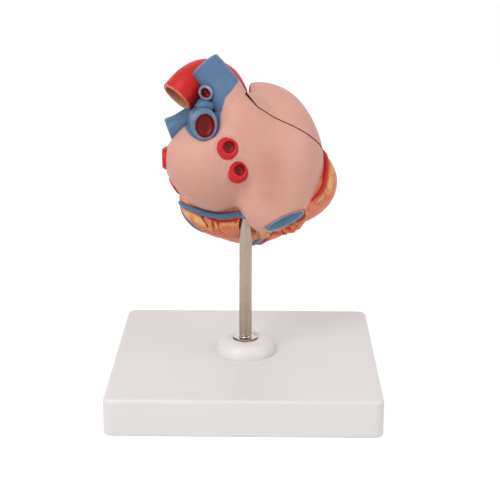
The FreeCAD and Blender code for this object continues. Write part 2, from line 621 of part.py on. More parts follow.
# ------------------------------------------------------- great vessels
def make_vessels(atria):
    """Arteries and veins at the top of the heart. Returns the solid bars that cut their seats."""
    aorta = tube(AORTA_PATH, [AORTA_RADIUS, AORTA_RADIUS])
    aorta_bore = bore_of(AORTA_PATH, AORTA_RADIUS - AORTA_WALL)
    cava = tube(UPPER_CAVA_PATH, UPPER_CAVA_RADII)
    below = UPPER_CAVA_PATH[0] - unit(UPPER_CAVA_PATH[1] - UPPER_CAVA_PATH[0]) * CAVA_BORE_BELOW
    above = UPPER_CAVA_PATH[-1] + unit(UPPER_CAVA_PATH[-1] - UPPER_CAVA_PATH[-2]) * CAVA_BORE_PAST
    cava_bore = tube([below] + UPPER_CAVA_PATH + [above], [UPPER_CAVA_RADII[-1] - CAVA_WALL] * 2)
    azygos = tube(AZYGOS_PATH, [AZYGOS_RADIUS, AZYGOS_RADIUS])
    azygos_bore = bore_of(AZYGOS_PATH, AZYGOS_RADIUS - AZYGOS_WALL, AZYGOS_BORE_PAST)
    trunk = tube(TRUNK_PATH, [TRUNK_RADIUS, TRUNK_RADIUS])
    right_branch = tube(RIGHT_BRANCH_PATH, [RIGHT_BRANCH_RADIUS, RIGHT_BRANCH_RADIUS])
    left_branch = tube(LEFT_BRANCH_PATH, [LEFT_BRANCH_RADIUS, LEFT_BRANCH_RADIUS])
    trunk_bore = bore_of(TRUNK_PATH, TRUNK_RADIUS - BRANCH_WALL, BRANCH_BORE_PAST)
    right_bore = bore_of(RIGHT_BRANCH_PATH, RIGHT_BRANCH_RADIUS - BRANCH_WALL, BRANCH_BORE_PAST)
    left_bore = bore_of(LEFT_BRANCH_PATH, LEFT_BRANCH_RADIUS - BRANCH_WALL, BRANCH_BORE_PAST)
    lung_bores = [trunk_bore, right_bore, left_bore]

    trunk = trunk.cut(front_of(TRUNK_PLANE, -PARTING_GAP)).cut(aorta).cut(atria)
    keep("aorta_arch", aorta.cut(aorta_bore).cut(atria))
    cava_wall = cava.cut(atria).cut(cava_bore).cut(aorta).cut(azygos_bore)
    keep("upper_cava", cava_wall.cut(auricle_zone(0.0)))
    keep("azygos_stub", azygos.cut(cava).cut(azygos_bore).cut(aorta))
    keep("pulmonary_trunk", cut_by(trunk, lung_bores))
    right_wall = cut_by(right_branch, lung_bores + [trunk, aorta, cava])
    keep("right_lung_artery", right_wall)
    left_wall = cut_by(left_branch, lung_bores + [trunk, right_branch, atria, aorta])
    keep("left_lung_artery", left_wall)
    return {"aorta": aorta, "cava_bore": cava_bore, "trunk": trunk, "trunk_bore": trunk_bore,
            "right": right_branch, "left": left_branch}


def lung_vein(root, direction):
    """The bar and the bore of one short flared vein stub."""
    direction = unit(direction)
    start = root - direction * LUNG_VEIN_SUNK
    end = root + direction * LUNG_VEIN_PROUD
    bar = tube([start, root, end], LUNG_VEIN_RADII)
    hollow = rod(start - direction, end + direction, LUNG_VEIN_BORE)
    return bar, hollow


def vein_room(root, direction):
    """A straight bar that holds the whole of one vein stub."""
    direction = unit(direction)
    start = root - direction * LUNG_VEIN_SUNK
    return rod(start, root + direction * LUNG_VEIN_PROUD, LUNG_VEIN_RADII[0])


def lower_cava_passage(past_mouth):
    """The round way in that the lower caval vein's lining fits."""
    inner_end = LOWER_CAVA_MOUTH - LOWER_CAVA_AXIS * LOWER_CAVA_DEPTH
    return rod(inner_end, LOWER_CAVA_MOUTH + LOWER_CAVA_AXIS * past_mouth, LOWER_CAVA_BORE)


def lower_cava_liner():
    """The blue lining of the lower caval vein's mouth."""
    inner_end = LOWER_CAVA_MOUTH - LOWER_CAVA_AXIS * LOWER_CAVA_DEPTH
    hollow = rod(inner_end - LOWER_CAVA_AXIS, LOWER_CAVA_MOUTH + LOWER_CAVA_AXIS,
                 LOWER_CAVA_BORE - LOWER_CAVA_LINER)
    return lower_cava_passage(0.0).cut(hollow)


def rod_socket_bar():
    """The socket's outer shape: a tube over the sleeve, closed by a roof."""
    return rod(Vector(0, 0, SLEEVE_BOTTOM), Vector(0, 0, SLEEVE_TOP + SOCKET_ROOF), SOCKET_RADIUS)


def rod_slot():
    """The room round the rod, from under the heart up to the sleeve."""
    return rod(Vector(0, 0, ROD_SLOT_BOTTOM), Vector(0, 0, SLEEVE_BOTTOM), ROD_SLOT_RADIUS)


# --------------------------------------------------------------- atria
def make_atria(atria, hollow, seats):
    """Both atria with their septum, veins and inlet holes. Returns the whole shell."""
    shell = atria.cut(hollow)
    mouth_side = (LOWER_CAVA_AXIS, LOWER_CAVA_AXIS.dot(LOWER_CAVA_MOUTH))
    shell = shell.cut(front_of(mouth_side)).cut(lower_cava_passage(CAVA_MOUTH_PAST))
    shell = shell.cut(seats["cava_bore"]).cut(seats["right"])
    earlier = [seats["right"]]
    for name, (root, direction) in LUNG_VEINS.items():
        bar, vein_hollow = lung_vein(root, direction)
        shell = shell.cut(bar)
        keep(name, cut_by(bar.cut(vein_hollow), earlier))
        earlier.append(bar)
    for centre, radius in ((MITRAL_CENTRE, MITRAL_RADIUS), (TRICUSPID_CENTRE, TRICUSPID_RADIUS)):
        way_in = centre - VALVE_AXIS * INLET_ABOVE
        shell = shell.cut(rod(way_in, centre + VALVE_AXIS * INLET_BELOW, radius))
    socket = rod_socket_bar()
    shell = shell.cut(socket).cut(rod_slot())
    keep("lower_cava_lining", lower_cava_liner().cut(socket))

    back = shell.cut(auricle_zone(0.0))
    right_side = front_of(SEPTAL_PLANE)
    keep("left_atrium", back.cut(right_side).cut(front_of((Vector(0, 1, 0), LEFT_ATRIUM_FLAT))))
    keep("right_atrium", back.common(right_side))
    keep("right_auricle", shell.common(auricle_zone(PARTING_GAP)))

    middle = front_of((SEPTAL_PLANE[0], SEPTAL_PLANE[1] - ATRIAL_SEPTUM_HALF))
    slab = middle.cut(front_of((SEPTAL_PLANE[0], SEPTAL_PLANE[1] + ATRIAL_SEPTUM_HALF)))
    septum = hollow.common(slab).cut(socket).cut(seats["cava_bore"]).cut(auricle_zone(0.0))
    rooms = [vein_room(root, direction) for root, direction in LUNG_VEINS.values()]
    keep("atrial_septum", cut_by(septum, [seats["right"]] + rooms + [lower_cava_passage(0.0)]))
    return shell


def make_socket():
    """The tube inside the heart that drops over the sleeve."""
    bore = Part.makeCylinder(SOCKET_BORE_RADIUS, SLEEVE_TOP - SLEEVE_BOTTOM,
                             Vector(0, 0, SLEEVE_BOTTOM))
    outer = rod_socket_bar()
    keep("rod_socket", outer.cut(bore))
    return outer


# ---------------------------------------------------------- ventricles
def make_ventricles(atria, grown_atria, seats, socket):
    """The muscle of both ventricles, hollowed and parted into back, septum and front wall."""
    muscle = lobed_solid(ventricle_skin, VENTRICLE_HEART, LONG_AXIS)
    body = muscle.cut(atria).cut(socket).cut(rod_slot())
    body = body.cut(chamber(LEFT_CHAMBER, LONG_AXIS)).cut(chamber(RIGHT_CHAMBER, RIGHT_CHAMBER_POLES))
    body = body.cut(seats["aorta"]).cut(seats["trunk_bore"])
    above_trunk_foot = (TRUNK_PLANE[0] * -1, -TRUNK_PLANE[1])
    body = body.cut(front_of(above_trunk_foot).common(front_of(APRON_PLANE)))
    body = body.cut(seats["trunk"]).cut(seats["right"]).cut(PARTS["lower_cava_lining"])

    back = body.cut(wall_zone(0.0))
    front = body.common(wall_zone(PARTING_GAP))
    front = front.cut(grown_atria.cut(auricle_zone(PARTING_GAP)))
    pin_way = PULL_DIRECTION
    pins = []
    for seat in PIN_SEATS:
        proud = PIN_LENGTH - PIN_SUNK
        bore = rod(seat - pin_way * (proud + PIN_END_PLAY), seat + pin_way * PIN_BORE_PAST,
                   PIN_BORE_RADIUS)
        back = back.cut(bore)
        pin = rod(seat - pin_way * proud, seat + pin_way * PIN_SUNK, PIN_RADIUS)
        front = front.cut(pin)
        pins.append(pin)
    keep("locating_pins", Part.makeCompound(pins))

    normal, level = VENTRICULAR_SEPTUM
    right_side = front_of((normal, level + SEPTUM_HALF))
    beyond_left = front_of((normal, level - SEPTUM_HALF))
    pieces = {"back": back, "front": front}
    for side, half in pieces.items():
        keep("right_ventricle_" + side, half.common(right_side))
        keep("left_ventricle_" + side, half.cut(beyond_left))
        keep("septum_" + side, half.common(beyond_left).cut(right_side))
    return muscle


def inlet_valve(centre, radius, shell, muscle_pieces):
    """A skirt of leaflets hanging from an inlet hole into its chamber."""
    hinge = centre + VALVE_AXIS * LEAFLET_ROOT
    radii = [radius, radius * LEAFLET_WAIST, radius * LEAFLET_TAPER]
    outer = tube([centre - VALVE_AXIS * LEAFLET_ROOT, hinge, centre + VALVE_AXIS * LEAFLET_LENGTH],
                 radii)
    inner = tube([centre - VALVE_AXIS * (LEAFLET_ROOT + 1), hinge,
                  centre + VALVE_AXIS * (LEAFLET_LENGTH + 1)],
                 [outer_radius - LEAFLET_THICKNESS for outer_radius in radii])
    return cut_by(outer.cut(inner).cut(shell), muscle_pieces)


def artery_valve(path, radius, place):
    """Three leaflets closing an artery: one thin disc, slit three ways from the middle."""
    foot = path[0] + (path[1] - path[0]) * place
    way = unit(path[1] - path[0])
    disc = rod(foot, foot + way * ARTERY_VALVE_THICKNESS, radius)
    side, other = axes_along(way, Vector(1, 0, 0))[1:]
    for turn in (0, 120, 240):
        angle = math.radians(turn)
        out = side * math.cos(angle) + other * math.sin(angle)
        slit = Part.makeBox(radius * ARTERY_VALVE_REACH, ARTERY_VALVE_SLIT, 4 * ARTERY_VALVE_THICKNESS,
                            Vector(0, -ARTERY_VALVE_SLIT / 2, -ARTERY_VALVE_THICKNESS))
        slit.Placement = FreeCAD.Placement(foot, FreeCAD.Rotation(out, Vector(), way, "ZXY"))
        disc = disc.cut(slit)
    return disc


def make_valves(shell):
    """The four valves, their muscles and cords."""
    muscles = [PARTS[name] for name in PARTS if "ventricle" in name or name.startswith("septum")]
    mitral = inlet_valve(MITRAL_CENTRE, MITRAL_RADIUS, shell, muscles).cut(wall_zone(0.0))
    keep("mitral_valve", mitral)
    tricuspid = inlet_valve(TRICUSPID_CENTRE, TRICUSPID_RADIUS, shell, muscles)
    keep("tricuspid_valve_back", tricuspid.cut(wall_zone(0.0)))
    keep("tricuspid_valve_front", tricuspid.common(wall_zone(PARTING_GAP)))
    aortic = artery_valve(AORTA_PATH, AORTA_RADIUS - AORTA_WALL, AORTIC_VALVE_PLACE)
    keep("aortic_valve", aortic.cut(PARTS["aorta_arch"]))
    pulmonary = artery_valve(TRUNK_PATH[1:], TRUNK_RADIUS - BRANCH_WALL, PULMONARY_VALVE_PLACE)
    keep("pulmonary_valve", pulmonary.cut(PARTS["pulmonary_trunk"]))

    leaflets = [PARTS["mitral_valve"], PARTS["tricuspid_valve_back"]]
    cones = []
    for foot, tip in PAPILLARY_ROOTS:
        cone = tube([foot, (foot + tip) * 0.5, tip], PAPILLARY_RADII).cut(wall_zone(0.0))
        cone = cut_by(cone, muscles + leaflets)
        cones.append(max(cone.Solids, key=lambda solid: solid.Volume))
    keep("papillary_muscles", Part.makeCompound(cones))

    cords = []
    for (foot, tip), centre, radius in zip(
            PAPILLARY_ROOTS, (MITRAL_CENTRE, MITRAL_CENTRE, TRICUSPID_CENTRE),
            (MITRAL_RADIUS, MITRAL_RADIUS, TRICUSPID_RADIUS)):
        rim = centre + VALVE_AXIS * LEAFLET_LENGTH
        side, other = axes_along(VALVE_AXIS, Vector(1, 0, 0))[1:]
        toward = unit(tip - rim - VALVE_AXIS * VALVE_AXIS.dot(tip - rim))
        for spread in (-CORD_SPREAD, 0, CORD_SPREAD):
            angle = math.radians(spread)
            out = toward * math.cos(angle) + VALVE_AXIS.cross(toward) * math.sin(angle)
            end = rim + out * (radius * LEAFLET_TAPER - LEAFLET_THICKNESS / 2)
            cord = rod(tip - unit(end - tip) * CORD_SUNK, end, CORD_RADIUS).cut(wall_zone(0.0))
            cord = cut_by(cord, cones + leaflets)
            cords.append(max(cord.Solids, key=lambda solid: solid.Volume))
    keep("valve_cords", Part.makeCompound(cords))


# -------------------------------------------- vessels and fat outside
def carve(names, tool):
    """Cut a seat for one piece in each of the named pieces that it meets."""
    for name in names:
        if PARTS[name].BoundBox.intersect(tool.BoundBox):
            keep(name, PARTS[name].cut(tool))


def make_outside(seats, socket):
    """Coronary vessels let into the skin, with fat pads beside them."""
    way_in = lower_cava_passage(CAVA_WAY_IN)
    obstacles = [seats["aorta"], seats["trunk"], seats["left"], socket, rod_slot(), way_in]
    placed = []
    for name, (radius, guides) in CORONARY_GUIDES.items():
        bar = tube(settle(guides, radius, BAR_SUNK), [radius * share for share in BAR_TAPER], 4, 10)
        bar = cut_by(bar, obstacles + placed)
        placed.append(bar)
        lay_in(name, bar)
    for name, (radius, guides) in FAT_GUIDES.items():
        pad = tube(settle(guides, radius, PAD_SUNK), [radius * share for share in PAD_TAPER], 4, 12)
        pad = cut_by(pad, obstacles + placed)
        placed.append(pad)
        lay_in(name, pad)


def lay_in(name, bar):
    """Give one bar to the half it lies on, cut a seat for it there, and part it if it crosses."""
    if name in CROSSING:
        back = bar.cut(wall_zone(0.0))
        front = bar.common(wall_zone(PARTING_GAP))
        carve(SKIN_BACK, bar)
        carve(SKIN_FRONT, bar)
        keep(name, back)
        keep(name + "_front", front)
    elif name in FRONT_ONLY:
        front = bar.common(wall_zone(PARTING_GAP))
        carve(SKIN_FRONT, bar)
        keep(name, front)
    else:
        back = bar.cut(wall_zone(0.0))
        carve(SKIN_BACK, bar)
        keep(name, back)


def make_left_auricle(atria, muscle, seats):
    """The small ear of the left atrium, beside the pulmonary trunk."""
    ear = chamber(LEFT_AURICLE, Vector(-0.5, 0.8, 0.0))
    ear = cut_by(ear, [atria, muscle, seats["trunk"], seats["left"], seats["aorta"],
                       PARTS["coronary_sinus"], PARTS["great_cardiac_vein"]])
    keep("left_auricle", max(ear.Solids, key=lambda solid: solid.Volume))


def make_heart():
    """The whole heart, from the skin inwards."""
    atria = lobed_solid(atrial_skin, ATRIAL_HEART, CAVAL_POLES)
    hollow = lobed_solid(atrial_skin, ATRIAL_HEART, CAVAL_POLES, ATRIAL_WALL)
    grown_atria = lobed_solid(atrial_skin, ATRIAL_HEART, CAVAL_POLES, -PARTING_GAP)
    seats = make_vessels(atria)
    shell = make_atria(atria, hollow, seats)
    socket = make_socket()
    muscle = make_ventricles(atria, grown_atria, seats, socket)
    make_valves(shell)
    make_outside(seats, socket)
    make_left_auricle(atria, muscle, seats)


make_stand()
make_heart()
os.makedirs("parts", exist_ok=True)
for part_name, part_shape in PARTS.items():
    part_shape.exportStep("parts/" + part_name + ".step")
    box = part_shape.BoundBox
    print("%-26s solids %d  volume %9.1f  valid %s  x %.1f..%.1f  y %.1f..%.1f  z %.1f..%.1f" % (
        part_name, len(part_shape.Solids), part_shape.Volume, part_shape.isValid(),
        box.XMin, box.XMax, box.YMin, box.YMax, box.ZMin, box.ZMax))
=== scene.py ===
# %% [markdown]
# # A heart model for the classroom, on its rod and stand
# The real thing is cast in two halves of soft plastic and painted by hand. It sits on a plated rod
# in a square moulded base. The frame that is loaded here already holds every piece at its true size
# and place. This script gives the pieces their finished surfaces, one small step at a time.
#
# All shapes are worked out with numpy in millimetres and put into meshes in metres.

# %% Load the frame
import json
import math

import bpy
import numpy as np
from mathutils import Matrix

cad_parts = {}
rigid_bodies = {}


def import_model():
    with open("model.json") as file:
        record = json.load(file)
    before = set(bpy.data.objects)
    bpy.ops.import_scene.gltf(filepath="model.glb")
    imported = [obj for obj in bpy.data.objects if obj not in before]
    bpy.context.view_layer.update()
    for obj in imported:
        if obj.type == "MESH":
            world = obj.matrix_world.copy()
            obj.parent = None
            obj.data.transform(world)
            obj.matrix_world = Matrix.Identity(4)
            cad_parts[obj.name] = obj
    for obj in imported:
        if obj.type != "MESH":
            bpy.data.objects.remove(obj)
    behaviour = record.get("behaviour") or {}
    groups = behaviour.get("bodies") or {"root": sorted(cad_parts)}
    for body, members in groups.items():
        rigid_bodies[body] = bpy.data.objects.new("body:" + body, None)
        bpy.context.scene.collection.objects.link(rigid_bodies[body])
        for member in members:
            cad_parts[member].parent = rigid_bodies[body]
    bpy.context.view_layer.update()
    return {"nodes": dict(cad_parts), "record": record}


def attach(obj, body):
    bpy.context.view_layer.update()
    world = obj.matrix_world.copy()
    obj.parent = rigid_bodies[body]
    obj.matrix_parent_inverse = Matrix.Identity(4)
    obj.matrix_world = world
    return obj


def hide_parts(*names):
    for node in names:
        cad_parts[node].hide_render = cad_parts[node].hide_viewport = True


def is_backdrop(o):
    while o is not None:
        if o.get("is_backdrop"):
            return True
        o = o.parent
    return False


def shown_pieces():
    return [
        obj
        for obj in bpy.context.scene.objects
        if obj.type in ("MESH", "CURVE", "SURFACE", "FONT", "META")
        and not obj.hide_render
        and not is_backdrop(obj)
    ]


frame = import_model()
MM = 0.001
PIECES = {}

# %% [markdown]
# ## From arrays to meshes
# A closed surface is a stack of rings with the same number of points. Quads join each ring to the
# next. The ends are closed either by a fan of triangles to a pole, as on a ball, or by joining the
# last ring to the first, as on a doughnut. Doing this once, as whole arrays, is quick and never
# leaves a hole. Faces have to point outwards, so the signed volume is tested and, where it is
# negative, every face is turned round.

# %% Helpers that build a closed mesh
SHARP_ANGLE = 38.0      # faces that meet at more degrees than this have a crisp edge between them


def length_of(vectors):
    """Length along the last axis, kept as an axis of one."""
    return np.sqrt((vectors * vectors).sum(-1, keepdims=True))


def quads_between(rings, spokes, loop):
    """Corner numbers of the quads: ring r and spoke s join r + 1 and s + 1, and spokes wrap round."""
    ring = np.arange(rings if loop else rings - 1)[:, None]
    spoke = np.arange(spokes)[None, :]
    beside = (spoke + 1) % spokes
    this_row = ring * spokes
    next_row = (ring + 1) % rings * spokes
    corners = (this_row + spoke, this_row + beside, next_row + beside, next_row + spoke)
    return np.stack(corners, -1).reshape(-1, 4)


def signed_volume(points, triangles):
    """A sixth of the sum of a . (b x c) over triangles: positive where faces point outwards."""
    a, b, c = (points[triangles[:, k]] for k in range(3))
    return float((a * np.cross(b, c)).sum() / 6.0)


def smooth_mesh(mesh, sharp_degrees=SHARP_ANGLE):
    """Smooth shading, but with a crisp edge wherever faces meet at more than this angle."""
    mesh.shade_smooth()
    mesh.set_sharp_from_angle(angle=math.radians(sharp_degrees))


def new_object(name, data):
    """An object in the scene that shows some data, such as a mesh or a lamp."""
    thing = bpy.data.objects.new(name, data)
    bpy.context.scene.collection.objects.link(thing)
    return thing


def mesh_piece(name, points, quads, fans, sharp_degrees):
    """A new object from points (n, 3) in millimetres, quads (m, 4) and triangles (k, 3)."""
    triangles = np.concatenate([quads[:, [0, 1, 2]], quads[:, [0, 2, 3]], fans])
    if signed_volume(points, triangles) < 0:
        quads = quads[:, ::-1]
        fans = fans[:, ::-1]
    corners = np.concatenate([quads.ravel(), fans.ravel()])
    sizes = np.concatenate([np.full(len(quads), 4), np.full(len(fans), 3)])
    mesh = bpy.data.meshes.new(name)
    mesh.vertices.add(len(points))
    mesh.vertices.foreach_set("co", (points * MM).astype(np.float32).ravel())
    mesh.loops.add(len(corners))
    mesh.loops.foreach_set("vertex_index", corners.astype(np.int32))
    mesh.polygons.add(len(sizes))
    mesh.polygons.foreach_set("loop_start", (np.cumsum(sizes) - sizes).astype(np.int32))
    mesh.update(calc_edges=True)
    smooth_mesh(mesh, sharp_degrees)
    return new_object(name, mesh)


def ball(name, grid, sharp_degrees=SHARP_ANGLE):
    """A closed surface from rings (rings, spokes, 3), with a pole in the middle of each end ring."""
    rings, spokes = grid.shape[:2]
    poles = np.stack([grid[0].mean(0), grid[-1].mean(0)])
    points = np.concatenate([grid.reshape(-1, 3), poles])
    spoke = np.arange(spokes)
    beside = (spoke + 1) % spokes
    last = (rings - 1) * spokes
    near = np.stack([np.full(spokes, rings * spokes), beside, spoke], -1)
    far = np.stack([np.full(spokes, rings * spokes + 1), last + spoke, last + beside], -1)
    quads = quads_between(rings, spokes, False)
    return mesh_piece(name, points, quads, np.concatenate([near, far]), sharp_degrees)


def doughnut(name, grid, sharp_degrees=SHARP_ANGLE):
    """A closed surface from rings (rings, spokes, 3) whose last ring joins its first."""
    quads = quads_between(*grid.shape[:2], True)
    no_fans = np.zeros((0, 3), int)
    return mesh_piece(name, grid.reshape(-1, 3), quads, no_fans, sharp_degrees)


# %% [markdown]
# ## Cutting
# Casting halves, seams and bores are cuts. A Boolean modifier with the Manifold solver takes one
# closed mesh from another exactly and fast. Several cuts go on one piece as a stack and are then
# made real in one step, so that no modifier is left.

# %% Helpers that cut
def plan_steps(piece, how, tools):
    """Puts one Boolean step for each tool on a piece."""
    for tool in tools:
        step = piece.modifiers.new("cut", "BOOLEAN")
        step.solver = "MANIFOLD"
        step.operation = how
        step.object = tool


def cut(piece, tools, keep=()):
    """Takes each tool away from a piece, then keeps only what is inside each object of keep."""
    plan_steps(piece, "DIFFERENCE", tools)
    plan_steps(piece, "INTERSECT", keep)
    graph = bpy.context.evaluated_depsgraph_get()
    mesh = bpy.data.meshes.new_from_object(piece.evaluated_get(graph))
    piece.modifiers.clear()
    old = piece.data
    piece.data = mesh
    bpy.data.meshes.remove(old)
    smooth_mesh(mesh)
    return piece


def merged(piece, others):
    """Melts other closed solids into a piece, so that one closed mesh is left."""
    plan_steps(piece, "UNION", others)
    return cut(piece, [])


def twin(piece, name):
    """A copy with a mesh of its own."""
    return new_object(name, piece.data.copy())


def discard(*pieces):
    """Removes tools that have done their work."""
    for piece in pieces:
        mesh = piece.data
        bpy.data.objects.remove(piece)
        bpy.data.meshes.remove(mesh)


def read_out(items, key):
    """One vector of every vertex or face of a mesh, as an array (n, 3)."""
    flat = np.empty(len(items) * 3, np.float32)
    items.foreach_get(key, flat)
    return flat.reshape(-1, 3).astype(float)


def points_of(piece):
    """Every vertex, in millimetres."""
    return read_out(piece.data.vertices, "co") / MM


def faces_of(piece):
    """Centre (millimetres) and normal of every face, as two arrays."""
    faces = piece.data.polygons
    return read_out(faces, "center") / MM, read_out(faces, "normal")


def store(piece, name, values, per="POINT"):
    """Keeps one number per vertex under a name, or per face, for the paint to read."""
    layer = piece.data.attributes.new(name, "FLOAT", per)
    layer.data.foreach_set("value", np.asarray(values, np.float32))


# %% [markdown]
# ## Directions, planes and lines
# The parting faces between the castings are planes. A plane is a normal and a level, and its value
# at a point is the distance in front of it. Vessels follow smooth lines that pass through a few
# chosen points.

# %% Geometry helpers
def unit(vector):
    """The same direction, one long."""
    vector = np.asarray(vector, float)
    return vector / length_of(vector)


def turns(spokes):
    """Angles of the spokes round a ring: 2 pi k / spokes."""
    return 2 * np.pi * np.arange(spokes) / spokes


def round_about(side, other, turn):
    """Directions square to an axis: cos(turn) * side + sin(turn) * other."""
    return side * np.cos(turn)[:, None] + other * np.sin(turn)[:, None]


def axes_along(first, second=(0.0, 1.0, 0.0)):
    """Three square unit axes as rows, the first of them along a direction."""
    first = unit(first)
    second = np.asarray(second, float)
    second = unit(second - first * (first @ second))
    return np.stack([first, second, np.cross(first, second)])


def in_front(plane, points):
    """Distance in front of a plane: normal . point - level, for a normal one long."""
    normal = np.asarray(plane[0], float)
    return (points @ normal - plane[1]) / np.linalg.norm(normal)


def smooth_step(low, high, values):
    """Rises gently from 0 at low to 1 at high: 3 t^2 - 2 t^3."""
    t = np.clip((values - low) / (high - low), 0.0, 1.0)
    return t * t * (3.0 - 2.0 * t)


def smooth_line(points, samples=64):
    """A Catmull-Rom curve: it passes through the points, heading from each one's neighbour to the next."""
    points = np.asarray(points, float)
    padded = np.vstack([2 * points[0] - points[1], points, 2 * points[-1] - points[-2]])
    place = np.linspace(0.0, len(points) - 1.0, samples)
    span = np.minimum(place.astype(int), len(points) - 2)
    t = (place - span)[:, None]
    one, two, three, four = (padded[span + k] for k in range(4))
    return 0.5 * (2 * two + (three - one) * t + (2 * one - 5 * two + 4 * three - four) * t ** 2
                  + (3 * two - one - 3 * three + four) * t ** 3)


OVERRUN = 40.0      # a line is taken to run on straight for this far past both of its ends


def line_frame(line):
    """Marks along a line, its points and its headings, with a straight run added at each end."""
    ways = unit(np.gradient(line, axis=0))
    marks = np.concatenate([[0.0], np.cumsum(length_of(np.diff(line, axis=0))[:, 0])])
    marks = np.concatenate([[-OVERRUN], marks, [marks[-1] + OVERRUN]])
    points = np.vstack([line[0] - OVERRUN * ways[0], line, line[-1] + OVERRUN * ways[-1]])
    return marks, points, np.vstack([ways[0], ways, ways[-1]])


def line_length(line):
    """Length of a line through its points."""
    return float(length_of(np.diff(line, axis=0)).sum())


def carry(line, distances, radii, spokes=72):
    """A round profile carried along a line: the ring at distance s is

    centre(s) + r(s, turn) * (cos(turn) * side + sin(turn) * other), square to the line's heading.
    radii may be one number for each ring, or one for each ring and spoke."""
    marks, points, ways = line_frame(line)
    centre = np.stack([np.interp(distances, marks, points[:, k]) for k in range(3)], -1)
    way = unit(np.stack([np.interp(distances, marks, ways[:, k]) for k in range(3)], -1))
    reference = np.eye(3)[np.argmin(np.abs(ways).max(0))]
    side = unit(reference - way * (way @ reference)[:, None])
    other = np.cross(way, side)
    turn = turns(spokes)
    outward = side[:, None] * np.cos(turn)[None, :, None] + other[:, None] * np.sin(turn)[None, :, None]
    radii = np.asarray(radii, float)
    radii = radii[:, None] if radii.ndim == 1 else radii
    return centre[:, None] + outward * radii[..., None]


# %% [markdown]
# ## Waviness and lumps
# Hand-made surfaces are never perfectly even. Two small functions of position give that: `ripple`
# is a gentle waviness, and `lumps` are rounded cobbles packed together, as fat is modelled on such a
# heart. Both depend only on where a point is, so neighbouring pieces match across their joints.

# %% Two textures that are functions of position
def ripple(points, size, seed, waves=10):
    """Waviness from about -1 to 1: the mean of sin(k . p + phase) over scattered directions,

    with wavelengths from 0.7 to 1.4 times size."""
    dice = np.random.default_rng(seed)
    ways = unit(dice.normal(size=(waves, 3))) * (2 * np.pi / size / dice.uniform(0.7, 1.4, (waves, 1)))
    phases = dice.uniform(0.0, 2 * np.pi, waves)
    return np.sin(points @ ways.T + phases).mean(-1) * 1.8


def lumps(points, size, seed):
    """Rounded lumps from 0 in the creases to 1 on top: space is split into cells of one size,

    each with a centre shaken out of place, and the height is 1 - (distance to nearest centre)^2."""
    cell = np.floor(points / size)
    nearest = np.full(points.shape[:-1], 9.0)
    for step in np.ndindex(3, 3, 3):
        corner = cell + np.array(step) - 1.0
        seeds = corner @ np.array([127.1, 311.7, 74.7]) + seed
        shake = np.stack([np.modf(np.abs(np.sin(seeds * k) * 43758.5453))[0] for k in (1.0, 1.7, 2.3)], -1)
        gap = points / size - (corner + 0.2 + 0.6 * shake)
        nearest = np.minimum(nearest, (gap * gap).sum(-1))
    return np.clip(1.0 - nearest * 1.6, 0.0, 1.0)


# %% [markdown]
# ## The heart's own form
# Each chamber group is a few soft ellipsoids, called lobes, melted together. A lobe adds
# exp(B (1 - q)), where q is 1 on its own surface, and the skin is where the sum is 1. Seen from a
# point well inside, the skin is crossed once in every direction, so it can be drawn as a ball whose
# radius depends on two angles. That is why it can be worked out as one array.

# %% The lobes, in millimetres
BLEND = 3.2
LEVEL = np.eye(3)
SEPTAL_LEAN = axes_along((-0.42, 0.0, 0.907))
CAVAL = axes_along((0.45, -0.3, -0.84))
LONG_AXIS = (-0.16, 0.70, -0.70)
LONG = axes_along(LONG_AXIS)
VALVE_AXIS = unit((0.0, 0.64, -0.77))

ATRIAL_LOBES = [
    ((-17.6, -5.9, 113.3), (19.1, 17.6, 19.1), LEVEL),
    ((-13.9, -2.7, 103.5), (15.0, 12.8, 14.5), LEVEL),
    ((-6.0, -5.0, 120.0), (14.0, 13.0, 16.0), LEVEL),
    ((4.7, -6.0, 118.1), (30.9, 13.5, 13.8), SEPTAL_LEAN),
    ((19.0, 2.6, 111.3), (17.0, 20.5, 24.3), LEVEL),
    ((14.8, -4.7, 102.2), (14.8, 13.0, 15.1), CAVAL),
    ((11.4, -8.4, 94.2), (16.1, 12.0, 14.0), CAVAL),
]
AURICLE_LOBE = [((6.2, 12.4, 123.9), (23.0, 19.6, 22.5), LEVEL)]
VENTRICLE_LOBES = [
    ((-0.6, 24.8, 89.1), (31.8, 20.0, 28.9), LONG),
    ((-8.3, 11.0, 91.4), (23.2, 14.9, 19.5), LEVEL),
    ((4.6, 14.3, 92.6), (17.1, 18.0, 17.8), LEVEL),
    ((17.0, 13.1, 98.9), (26.2, 26.9, 20.1), LEVEL),
    ((0.0, 30.0, 108.0), (19.0, 16.0, 19.0), LEVEL),
]
LEFT_CHAMBER = [
    ((-11.0, 20.0, 87.0), (24.0, 10.5, 11.5), LONG),
    ((-7.5, 17.0, 102.0), (14.0, 6.2, 6.2), axes_along((0.2, 0.25, 0.95))),
]
RIGHT_CHAMBER = [
    ((20.0, 24.0, 96.0), (16.0, 13.5, 14.0), LEVEL),
    ((8.0, 33.0, 108.0), (11.0, 8.0, 12.0), LEVEL),
    ((2.0, 35.5, 112.0), (8.5, 7.0, 11.0), LEVEL),
]
LEFT_AURICLE = [
    ((-27.0, 9.0, 112.0), (7.5, 11.0, 8.0), LEVEL),
    ((-22.5, 17.0, 111.0), (7.0, 7.0, 6.0), LEVEL),
]
ATRIAL_HEART = np.array((4.0, -1.0, 111.0))
VENTRICLE_HEART = np.array((2.0, 19.0, 93.0))
CAVAL_POLES = (0.45, -0.05, -0.88)
RIGHT_CHAMBER_POLES = (-0.35, 0.1, 0.9)
ATRIAL_WALL = 2.4
PARTING_GAP = 0.35

